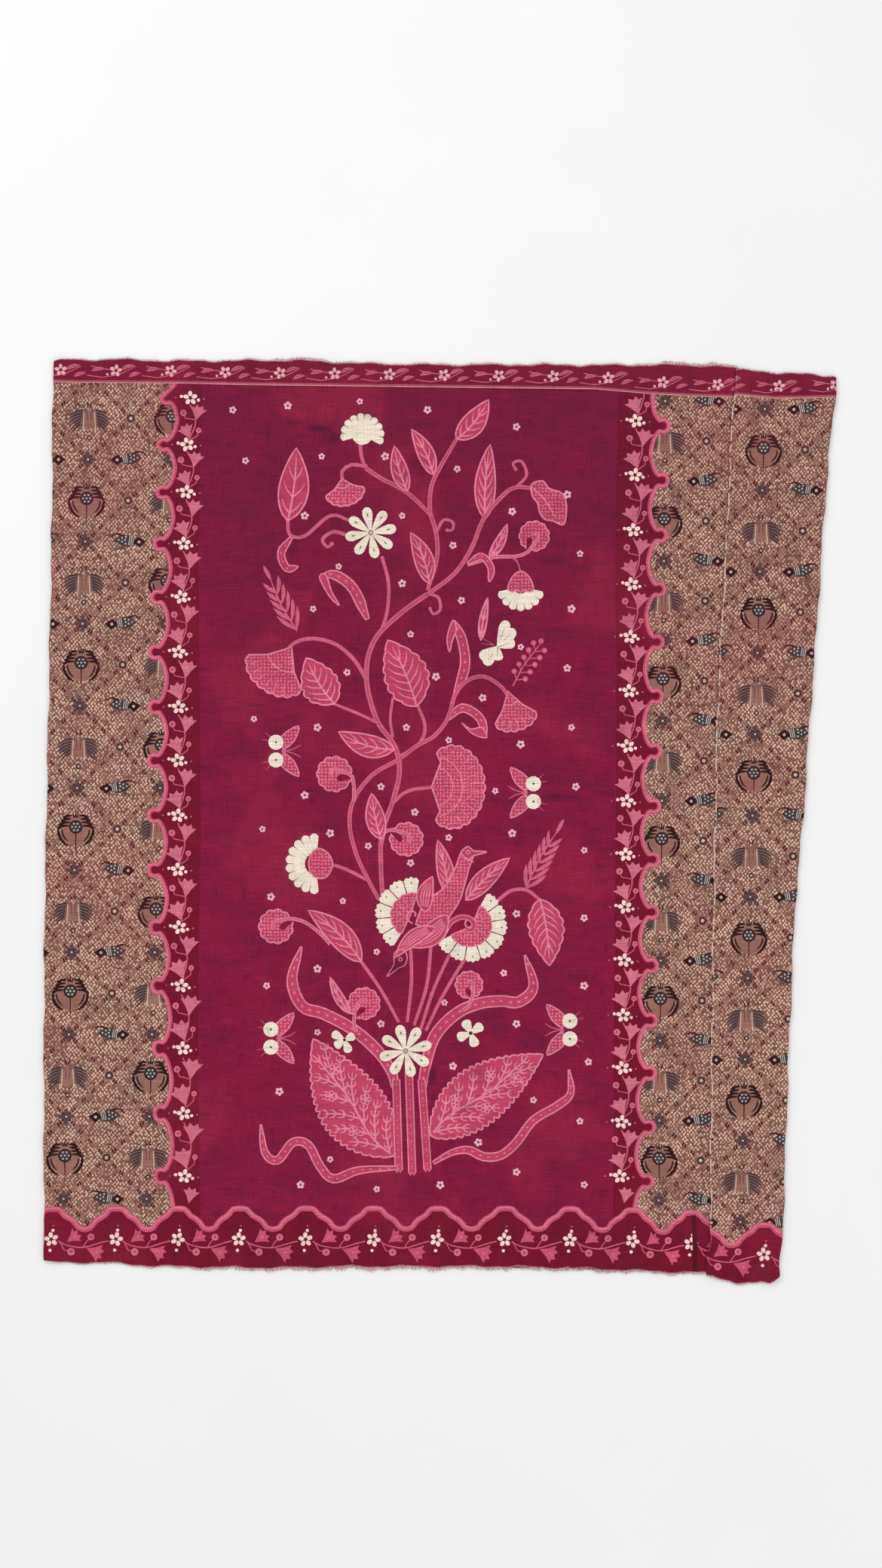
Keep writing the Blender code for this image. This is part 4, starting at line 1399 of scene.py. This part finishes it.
def batik_cotton():
    """Dyed cotton: the drawn dye, wax dots, uneven baths, smudges and painted shade along creases, slubs and
    a plain weave.
    """
    own = Finish("batik_cotton_print", 0.88, 0.05)
    flat = own.node("UVMap", {"uv_map": "flat"})
    dye = own.node("Attribute", {"attribute_name": "dye"})
    wax = own.node("Attribute", {"attribute_name": "wax"})
    dots_here, mottles, stain_and_crease_shade = (own.node("SeparateColor", None, {"Color": wax}, part)
                                 for part in ("Red", "Green", "Blue"))

    shaken = own.noise(flat, 240, 1)
    grain = own.stretched(flat, 1.12, 0.9, 0.85)
    dotting = {"Vector": grain, "Scale": 1 / sizes().dot_spacing, "Randomness": 0.42}
    from_dot, dot_colour = (own.node("TexVoronoi", {"voronoi_dimensions": "2D"}, dotting, part)
                            for part in ("Distance", "Color"))
    luck = own.node("SeparateColor", None, {"Color": dot_colour}, "Red")
    dot = own.ranged(from_dot + (shaken - 0.5) * 0.16, 0.42, 0.28) * dots_here
    dot = dot * own.ranged(luck, 0.06, 0.34, 0.1, 1.0)
    bare = own.noise(flat, 34, 2)
    dot = dot * own.ranged(bare, 0.30, 0.54, 0.55, 1.0)
    colour = own.blended(dye, (*dyes().dots, 1), dot)
    spots = own.node("TexVoronoi", {"voronoi_dimensions": "2D"},
                     {"Vector": flat, "Scale": 1 / sizes().petal_dots, "Randomness": 0.3})
    petals = own.node("Attribute", {"attribute_name": "wax"}, None, "Alpha")
    colour = own.blended(colour, (*dyed(230, 132, 156), 1), own.ranged(spots, 0.31, 0.22) * petals)

    bath = own.noise(own.stretched(flat, 12, 34), 1, 6, 0.65)
    plum = own.ranged(bath, 0.42, 0.66) * mottles
    colour = own.blended(colour, (*dyed(100, 16, 54), 1), plum * 0.42)
    # The field grows darker towards the waist.
    upward = own.node("SeparateXYZ", None, {"Vector": flat}, "Y")
    darker = own.ranged(upward + (bath - 0.5) * 0.4, -0.1, 0.5) * mottles
    colour = own.blended(colour, (*dyed(92, 20, 50), 1), darker * 0.42)
    pooled = own.ranged(own.noise(flat, 62, 3, 0.6), 0.58, 0.74) * mottles
    colour = own.blended(colour, (*dyed(92, 6, 46), 1), pooled * 0.34)
    faded = own.ranged(own.noise(flat, 7, 3), 0.5, 0.7) * mottles
    colour = own.blended(colour, (*dyed(160, 38, 68), 1), faded * 0.36)
    # Smudges, and painted shade along the creases, darken the colour.
    colour = own.blended(colour, (*dyed(58, 8, 46), 1), stain_and_crease_shade)

    weft = own.noise(own.stretched(flat, 34, 720), 1, 2)
    warp = own.noise(own.stretched(flat, 760, 30), 1, 2)
    slub = own.ranged(weft, 0.56, 0.74) + own.ranged(warp, 0.58, 0.76) * 0.7
    bright = own.ranged(weft, 0.46, 0.30) + own.ranged(warp, 0.44, 0.28) * 0.7
    tone = 1.05 - slub * 0.22 + bright * 0.20 + (own.noise(flat, 900, 1) - 0.5) * 0.30
    tone = tone + (own.noise(flat, 40, 4, 0.6) - 0.5) * (0.30 + dots_here * 0.30)
    tone = tone - dots_here * own.ranged(own.noise(flat, 260, 2), 0.56, 0.70) * 0.42
    own.feed(own.shader.inputs["Base Color"], own.lit(colour, tone))
    own.feed(own.shader.inputs["Roughness"], 0.92 - weft * 0.16)

    threads = own.stretched(flat, 2400, 2400)
    over = own.node("TexChecker", None, {"Vector": threads, "Scale": 1.0}, "Fac")
    cloth = over * 0.35 + weft + warp * 0.8
    creased = own.noise(own.stretched(flat, 26, 44), 1, 4, 0.55)
    body = own.bump(creased, 0.004, 0.55)
    bumped = own.node("Bump", None, {"Height": cloth, "Distance": 0.00022, "Strength": 0.8, "Normal": body})
    own.feed(own.shader.inputs["Normal"], bumped)
    return own.material


def thread_cotton(name, colour, deep):
    """Loose thread, unevenly dyed along its length."""
    own = Finish(name, 0.9, 0.15)
    place = own.node("TexCoord", output="Object")
    tone = own.node("TexNoise", None, {"Vector": place, "Scale": 420, "Detail": 2})
    twist = own.node("TexNoise", None, {"Vector": place, "Scale": 3200, "Detail": 1})
    colour = own.blended((*colour, 1), (*deep, 1), own.ranged(tone, 0.42, 0.62))
    own.feed(own.shader.inputs["Base Color"], colour)
    own.feed(own.shader.inputs["Roughness"], 0.82 + twist * 0.14)
    own.feed(own.shader.inputs["Normal"], own.bump(twist, 0.0002, 0.6))
    return own.material


def floor_finish():
    """A pale floor, barely uneven in tone."""
    own = Finish("pale_floor", 0.9, 0)
    place = own.node("TexCoord", output="Object")
    tone = own.node("TexNoise", None, {"Vector": place, "Scale": 6, "Detail": 3})
    own.feed(own.shader.inputs["Base Color"], own.lit((0.92, 0.92, 0.92), 0.98 + tone * 0.04))
    return own.material


# ------------------------------------------------------------------ the cloth's mesh


STAINS_AND_CREASE_SHADE = (  # old smudges in the field, and painted shade along four crease troughs, in centimetres: x, y, half length, half width, turn, depth
    (-14.5, 46.3, 2.6, 0.5, 12, 0.75), (-12.5, 45.2, 1.1, 0.9, 40, 0.7), (-20.5, 45.6, 1.8, 0.45, 80, 0.5),
    (-17.6, 46.8, 1.2, 0.35, 5, 0.6), (-8, 47.9, 1.2, 0.4, 0, 0.4), (-1, -30, 1.1, 0.6, 70, 0.75),
    (3, -34, 0.8, 0.5, 10, 0.45), (-17, 32, 0.5, 1.1, 0, 0.35), (-5, -17.4, 1.6, 1.2, 20, 0.4),
    # The long thin marks, half width 0.22, are painted shade along crease troughs; the others are smudges.
    (14, 2.8, 4.0, 0.22, 2, 0.55), (12, 30.6, 4.5, 0.22, 6, 0.4), (11.5, -26, 3.6, 0.22, 18, 0.45),
    (-26, -26, 3.4, 0.22, 40, 0.35), (6.5, -8, 0.3, 1.5, 5, 0.3),
)


def steps_along(lines, closed, start=0):
    """The edges between neighbouring points of each line, numbered on from start."""
    edges = []
    for line in lines:
        edges += [(start + k, start + (k + 1) % len(line)) for k in range(len(line) - (not closed))]
        start += len(line)
    return edges


def triangles_along(points, edges):
    """Triangles that keep to the edges: their points, corners and middles."""
    found = delaunay_2d_cdt([Vector((p.real, p.imag)) for p in points], edges, [], 0, 1e-5, False)
    points = np.array([complex(*p) for p in found[0]])
    faces = np.array(found[2])
    return points, faces, points[faces].mean(1)


def painted_by(shapes, middles):
    """For each middle, the row in the dye table of the last shape over it."""
    order = np.argsort(middles.imag)
    middles = middles[order]
    names = list(dye_table())
    painted = np.zeros(len(middles), int)
    for loop, dye in shapes:
        first, last = np.searchsorted(middles.imag, (loop.imag.min(), loop.imag.max()))
        nearby = middles[first:last]
        near = np.flatnonzero((nearby.real > loop.real.min()) & (nearby.real < loop.real.max()))
        if len(near):
            under = near[winds_in_parts(loop, nearby[near])]
            painted[order[first + under]] = names.index(dye)
    return painted


def seen_edges(points, faces, painted, slack=0.006, longest=0.9):
    """The points and edges where the colour changes, without the points that a straight run can spare."""
    ends = np.sort(np.concatenate([faces[:, [0, 1]], faces[:, [1, 2]], faces[:, [2, 0]]]), axis=1)
    edges, index, count = np.unique(ends, axis=0, return_inverse=True, return_counts=True)
    index, sides = index.reshape(-1), np.tile(painted, 3)
    least, most = np.full(len(edges), len(dye_table())), np.full(len(edges), -1)
    np.minimum.at(least, index, sides)
    np.maximum.at(most, index, sides)
    rim = set(edges[count == 1].ravel().tolist())
    near = {}
    for first, last in edges[(least != most) | (count == 1)].tolist():
        near.setdefault(first, set()).add(last)
        near.setdefault(last, set()).add(first)
    for spot in list(near):
        if len(near[spot]) != 2 or spot in rim:
            continue
        first, last = near[spot]
        chord = points[last] - points[first]
        if abs(chord) > longest or last in near[first]:
            continue
        if abs(((points[spot] - points[first]) * chord.conjugate()).imag) < slack * abs(chord):
            for one, other in ((first, last), (last, first)):
                near[one].discard(spot)
                near[one].add(other)
            del near[spot]
    numbers = {spot: k for k, spot in enumerate(near)}
    kept = [(numbers[a], numbers[b]) for a in near for b in near[a] if a < b]
    return points[list(near)], kept


def cut_up(stretch, drawing, spacing):
    """One stretch as flat points, triangles that follow its drawing, and each triangle's dye."""
    outline = stretch_outline(stretch) * 100
    low = complex(outline.real.min(), outline.imag.min())
    high = complex(outline.real.max(), outline.imag.max())
    shapes = [(loop, dye) for loop, dye in drawing.shapes
              if loop.real.max() > low.real and loop.real.min() < high.real
              and loop.imag.max() > low.imag and loop.imag.min() < high.imag]
    loops = [outline] + [loop for loop, _ in shapes]
    points, faces, middles = triangles_along(np.concatenate(loops), steps_along(loops, True))
    inside = winds_in_parts(outline, middles)
    points, edges = seen_edges(points, faces[inside], painted_by(shapes, middles[inside]))

    guides = fold_guides(stretch, low.imag, high.imag)
    across = np.arange(low.real + spacing / 2, high.real, spacing)
    up = np.arange(low.imag + spacing / 2, high.imag, spacing)
    free = np.ones((len(across) + 1, len(up) + 1), bool)
    column, row = ((part / spacing).astype(int) for part in (points.real - low.real, points.imag - low.imag))
    free[column, row] = False
    plain = (across[:, None] + 1j * up[None, :])[free[:-1, :-1]]
    edges += steps_along(guides, False, len(points))
    points, faces, middles = triangles_along(np.concatenate([points, *guides, plain]), edges)
    inside = winds_in_parts(outline, middles)
    painted = painted_by(shapes, middles[inside])
    used, faces = np.unique(faces[inside], return_inverse=True)
    return points[used], faces.reshape(-1, 3), painted


def fold_guides(stretch, lowest, highest):
    """Lines along a side fold that the mesh has to follow, so that the fold comes out round."""
    if stretch == "back":
        return []
    outward, side, setback = (-1, "left", FOLD_SETBACK) if stretch == "main" else (1, "right", -FOLD_SETBACK)
    rows = np.linspace(lowest - 1, highest + 1, 90)
    start = (side_line(side, rows / 100) + setback) * 100
    turns = [start + outward * FOLD_RADIUS * 100 * math.pi * k / 7 for k in range(7)]
    insets = [start - outward * inset for inset in (0.6, 1.4, 2.4)]
    return [line + 1j * rows for line in turns + insets]


MOST_AT_ONCE = 3_000_000     # pairs of a point and an edge, to spare memory


def winds_in_parts(loop, points):
    """winds_round for many points, a part of them at a time."""
    part = max(1, MOST_AT_ONCE // len(loop))
    return np.concatenate([winds_round(loop, points[k:k + part]) for k in range(0, len(points), part)])


def stained_and_crease_shaded(flat):
    """How dark the old smudges and the painted crease shade are at points of the front."""
    total = np.zeros(len(flat))
    for x, y, length, width, turn, depth in STAINS_AND_CREASE_SHADE:
        local = (flat - complex(x, y)) * cmath.rect(1, -math.radians(turn))
        inside = np.maximum(0, 1 - (local.real / length)**2 - (local.imag / width)**2)
        total = np.maximum(total, depth * inside)
    return total


WELD = 2e-5   # points nearer than this are joined, which closes the tube along its folds
BAKE_START = {"main": 0.478, "lap": 0.492, "back": 0.470}   # how far each stretch is moved right, in metres
BAKE_STRIPS = {"front": (0.004, 0.722, 0.972), "back": (0.735, 0.262, 0.94)}  # left, width, metres held
BAKE_REACH = 0.556           # metres of cloth that the square holds above and below the middle


def bake_place(stretch, flat):
    """Where a stretch lies in the square that its finish is baked to, front beside back."""
    across = flat.real / 100 + BAKE_START[stretch]
    left, width, span = BAKE_STRIPS["back" if stretch == "back" else "front"]
    return np.column_stack([left + across / span * width, (flat.imag / 100 + BAKE_REACH) / (2 * BAKE_REACH)])


def cloth_mesh():
    """The three stretches cut up, laid and joined along the folds."""
    drawings = (("main", draw_main(), sizes().front_mesh), ("lap", draw_lap(), sizes().front_mesh),
                ("back", draw_back(), sizes().back_mesh))
    table = np.array([row if len(row) > 5 else (*row, 0) for row in dye_table().values()])
    places, faces, flats, bakes, colours, waxes = [], [], [], [], [], []
    count = 0
    for stretch, drawing, spacing in drawings:
        flat, triangles, painted = cut_up(stretch, drawing, spacing * 100)
        places.append(LAYS[stretch](flat.real / 100, flat.imag / 100))
        faces.append(triangles + count)
        count += len(flat)
        corners = flat[triangles].ravel()
        flats.append(np.column_stack([corners.real / 100, corners.imag / 100]))
        bakes.append(bake_place(stretch, corners))
        row = np.repeat(table[painted], 3, axis=0)
        colours.append(np.column_stack([row[:, :3], np.ones(len(row))]))
        # Smudges and painted crease shade, on the main stretch only
        stain_and_crease_shade = stained_and_crease_shaded(corners) if stretch == "main" else np.zeros(len(corners))
        waxes.append(np.column_stack([row[:, 3], row[:, 4], stain_and_crease_shade, row[:, 5]]))
    places, faces = np.concatenate(places), np.concatenate(faces)
    cells = np.round(places / WELD).astype(int)
    _, first, joined = np.unique(cells, axis=0, return_index=True, return_inverse=True)
    faces = joined.reshape(-1)[faces]
    whole = (faces[:, 0] != faces[:, 1]) & (faces[:, 1] != faces[:, 2]) & (faces[:, 0] != faces[:, 2])
    keep = np.repeat(whole, 3)
    mesh = bpy.data.meshes.new("sarong_printed_cloth")
    mesh.from_pydata(places[first], [], faces[whole])
    for name, values in (("OFBake", bakes), ("flat", flats)):
        layer = mesh.uv_layers.new(name=name)
        layer.uv.foreach_set("vector", np.concatenate(values)[keep].ravel())
    for name, values in (("dye", colours), ("wax", waxes)):
        layer = mesh.color_attributes.new(name, "FLOAT_COLOR", "CORNER")
        layer.data.foreach_set("color", np.concatenate(values)[keep].ravel())
    mesh.shade_smooth()
    return mesh


def shown(name, mesh, material, replaced=()):
    """Links a piece to the scene, riding on the one body."""
    piece = bpy.data.objects.new(name, mesh)
    bpy.context.scene.collection.objects.link(piece)
    mesh.materials.append(material)
    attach(piece, "root")
    if replaced:
        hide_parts(*replaced)
    return piece


# ------------------------------------------------------------------ thread ends and stitches


class Fringe(NamedTuple):
    """A run of loose thread ends along an edge, from one place to another."""

    name: str
    stretch: str
    edge: str
    start: float
    end: float


FRINGES = (
    Fringe("waist_fringe_main", "main", "waist", 0.02, 0.99),
    Fringe("hem_fringe_main", "main", "hem", 0.02, 0.99),
    Fringe("waist_fringe_lap", "lap", "waist", 0.0, 0.97),
    Fringe("hem_fringe_lap", "lap", "hem", 0.0, 0.97),
    Fringe("waist_fringe_back", "back", "waist", 0.03, 0.97),
    Fringe("hem_fringe_back", "back", "hem", 0.03, 0.97),
)


def thread(builder, path, radius):
    """A three-sided thread along a path, tapering to a point."""
    rings = []
    for k, point in enumerate(path[:-1]):
        size = radius * (1 - 0.25 * k / len(path))
        rings.append([builder.verts.new(point + size * Vector((math.cos(a), 0, math.sin(a))))
                      for a in (math.pi / 2, math.pi * 7 / 6, math.pi * 11 / 6)])
    tip = builder.verts.new(path[-1])
    builder.faces.new(rings[0])
    for low, high in zip(rings, rings[1:]):
        for k in range(3):
            builder.faces.new((low[k], low[(k + 1) % 3], high[(k + 1) % 3], high[k]))
    for k in range(3):
        builder.faces.new((rings[-1][k], rings[-1][(k + 1) % 3], tip))


def closed_up(builder, name):
    """The builder's threads as a mesh, with every face turned outward."""
    bmesh.ops.recalc_face_normals(builder, faces=builder.faces)
    mesh = bpy.data.meshes.new(name)
    builder.to_mesh(mesh)
    builder.free()
    return mesh


THREAD_PITCH = {"main": 0.0006, "lap": 0.0006, "back": 0.0022}  # metres between threads, about
ROOT_DEPTH = 0.0008             # how far a thread starts inside the cloth's edge
SEAM_ENDS = (-0.508, 0.527)     # where the first stitch starts and the last one may start
STITCH_INSET = 0.0016           # from the lap's edge to the line of stitches
STITCH_RADIUS = 0.00022


def fringe_mesh(fringe):
    """Thread ends of uneven length, lying as the edge frayed."""
    chance = random.Random(fringe.name)
    builder = bmesh.new()
    outward = 1 if fringe.edge == "waist" else -1
    span = abs(np.subtract(*[edge_point(fringe.stretch, fringe.edge, p)[0] for p in (0, 1)]))
    place = fringe.start
    radius = sizes().thread / 2
    while place < fringe.end:
        u, y = edge_point(fringe.stretch, fringe.edge, place)
        reach = edge_value(fringe.stretch, fringe.edge + "_fringe", place)
        clump = 0.72 + 0.28 * math.sin(place * span * 260) * math.sin(place * span * 97 + 1)
        length = (ROOT_DEPTH + reach * chance.uniform(0.45, 1.0) * clump) * 0.97
        root = Vector(LAYS[fringe.stretch](np.array([u]), np.array([y - outward * ROOT_DEPTH]))[0])
        lean = chance.uniform(-0.45, 0.45)
        drop = min(root.z - radius, chance.uniform(0, 0.9) * length * 0.35)
        path = [root + Vector((lean * length * s * s, outward * (ROOT_DEPTH + length) * s, -drop * s * s))
                for s in (0, 0.4, 0.75, 1)]
        thread(builder, path, radius)
        place += THREAD_PITCH[fringe.stretch] * chance.uniform(0.6, 1.5) / span
    return closed_up(builder, fringe.name + "_threads")


def stitch_mesh():
    """The small uneven stitches that hold the lap down, dipping into the cloth at both ends."""
    chance = random.Random(31)
    builder = bmesh.new()
    y, top = SEAM_ENDS
    while y < top:
        length = sizes().stitch * chance.uniform(0.75, 1.2)
        rows = np.linspace(y, y + length, 5)
        u = side_line("seam", rows) + STITCH_INSET + chance.uniform(-0.0003, 0.0003)
        path = [Vector(p) for p in lay_lap(u, rows)]
        for k, rise in enumerate((-0.0002, 0.0002, 0.0003, 0.0002, -0.0002)):
            path[k].z += rise
        for a, b in zip(path, path[1:]):
            low, high = ([builder.verts.new(point + STITCH_RADIUS * Vector((math.cos(t), 0, math.sin(t))))
                          for t in (0.2, 1.77, 3.34, 4.91)] for point in (a, b))
            for k in range(4):
                builder.faces.new((low[k], low[(k + 1) % 4], high[(k + 1) % 4], high[k]))
            builder.faces.new(low)
            builder.faces.new(high[::-1])
        y += length + sizes().stitch * chance.uniform(0.25, 0.55)
    bmesh.ops.remove_doubles(builder, verts=builder.verts, dist=1e-6)
    return closed_up(builder, "seam_stitches")


# ------------------------------------------------------------------ the add-on


class SARONG_OT_cloth(bpy.types.Operator):
    """Draw, dye and lay the tube of cotton"""

    bl_idname = "sarong.cloth"
    bl_label = "Printed cloth"

    def execute(self, context):
        shown("sarong_printed_cloth", cloth_mesh(), batik_cotton(), ["sarong_cloth"])
        return {"FINISHED"}


class SARONG_OT_fringes(bpy.types.Operator):
    """Fray the waist and the hem"""

    bl_idname = "sarong.fringes"
    bl_label = "Thread ends"

    def execute(self, context):
        cotton = thread_cotton("loose_thread_ends", dyed(226, 182, 180), dyed(178, 96, 112))
        for fringe in FRINGES:
            shown(fringe.name + "_threads", fringe_mesh(fringe), cotton, [fringe.name])
        return {"FINISHED"}


class SARONG_OT_seam(bpy.types.Operator):
    """Stitch the lap down"""

    bl_idname = "sarong.seam"
    bl_label = "Seam stitches"

    def execute(self, context):
        cotton = thread_cotton("pale_sewing_thread", dyed(214, 192, 178), dyed(170, 138, 126))
        shown("seam_stitches", stitch_mesh(), cotton)
        return {"FINISHED"}


class Lamp(NamedTuple):
    """A round soft light aimed at the middle of the cloth."""

    name: str
    place: tuple
    size: float
    power: float


LAMPS = (Lamp("key", (-1.8, 2.0, 2.2), 1.4, 26), Lamp("fill", (1.9, -0.6, 2.2), 2.2, 8))
ROOM_LIGHT = 0.80
FLOOR_REACH = 6.0
VIEW_HEIGHT = 1.851     # metres that the camera's frame spans along the tube
VIEW_CENTRE = (0.0009, 0.0432, 0.003)


class SARONG_OT_stage(bpy.types.Operator):
    """Set the pale floor, the soft lights and the camera straight over the cloth"""

    bl_idname = "sarong.stage"
    bl_label = "Floor, light and camera"

    def execute(self, context):
        mesh = bpy.data.meshes.new("pale_floor")
        corners = [(x * FLOOR_REACH, y * FLOOR_REACH, 0) for x, y in ((-1, -1), (1, -1), (1, 1), (-1, 1))]
        mesh.from_pydata(corners, [], [(0, 1, 2, 3)])
        mesh.materials.append(floor_finish())
        floor = bpy.data.objects.new("pale_floor", mesh)
        context.scene.collection.objects.link(floor)
        world = bpy.data.worlds.new("soft_room")
        world.use_nodes = True
        glow = world.node_tree.nodes["Background"].inputs
        glow["Color"].default_value = (1, 1, 1, 1)
        glow["Strength"].default_value = ROOM_LIGHT
        context.scene.world = world
        context.scene.view_settings.view_transform = "Standard"
        for lamp in LAMPS:
            light = bpy.data.lights.new(lamp.name, "AREA")
            light.shape, light.size, light.energy = "DISK", lamp.size, lamp.power
            hung = bpy.data.objects.new(lamp.name, light)
            hung.location = lamp.place
            hung.rotation_euler = (-Vector(lamp.place)).to_track_quat("-Z", "Y").to_euler()
            context.scene.collection.objects.link(hung)
        lens = bpy.data.cameras.new("camera")
        lens.lens = 50
        lens.clip_end = 60
        camera = bpy.data.objects.new("camera", lens)
        height = VIEW_HEIGHT / 2 * lens.lens / (lens.sensor_width / 2)
        x, y, z = VIEW_CENTRE
        camera.location = (x, y, z + height)
        context.scene.collection.objects.link(camera)
        context.scene.camera = camera
        return {"FINISHED"}


class SARONG_PT_panel(bpy.types.Panel):
    """The sarong's sizes, dyes and steps"""

    bl_label = "Sarong"
    bl_idname = "SARONG_PT_panel"
    bl_space_type = "VIEW_3D"
    bl_region_type = "UI"
    bl_category = "Sarong"

    def draw(self, context):
        for group in (context.scene.sarong_sizes, context.scene.sarong_dyes):
            box = self.layout.box()
            for name in group.__annotations__:
                box.prop(group, name)
        for step in STEPS:
            self.layout.operator(step.bl_idname)


STEPS = (SARONG_OT_cloth, SARONG_OT_fringes, SARONG_OT_seam, SARONG_OT_stage)
CLASSES = (SarongDyes, SarongSizes, *STEPS, SARONG_PT_panel)


def register():
    for made in CLASSES:
        bpy.utils.register_class(made)
    bpy.types.Scene.sarong_dyes = PointerProperty(type=SarongDyes)
    bpy.types.Scene.sarong_sizes = PointerProperty(type=SarongSizes)


def unregister():
    del bpy.types.Scene.sarong_sizes
    del bpy.types.Scene.sarong_dyes
    for made in reversed(CLASSES):
        bpy.utils.unregister_class(made)


def main():
    register()
    for step in (bpy.ops.sarong.cloth, bpy.ops.sarong.fringes, bpy.ops.sarong.seam, bpy.ops.sarong.stage):
        step()


if __name__ == "__main__":
    main()
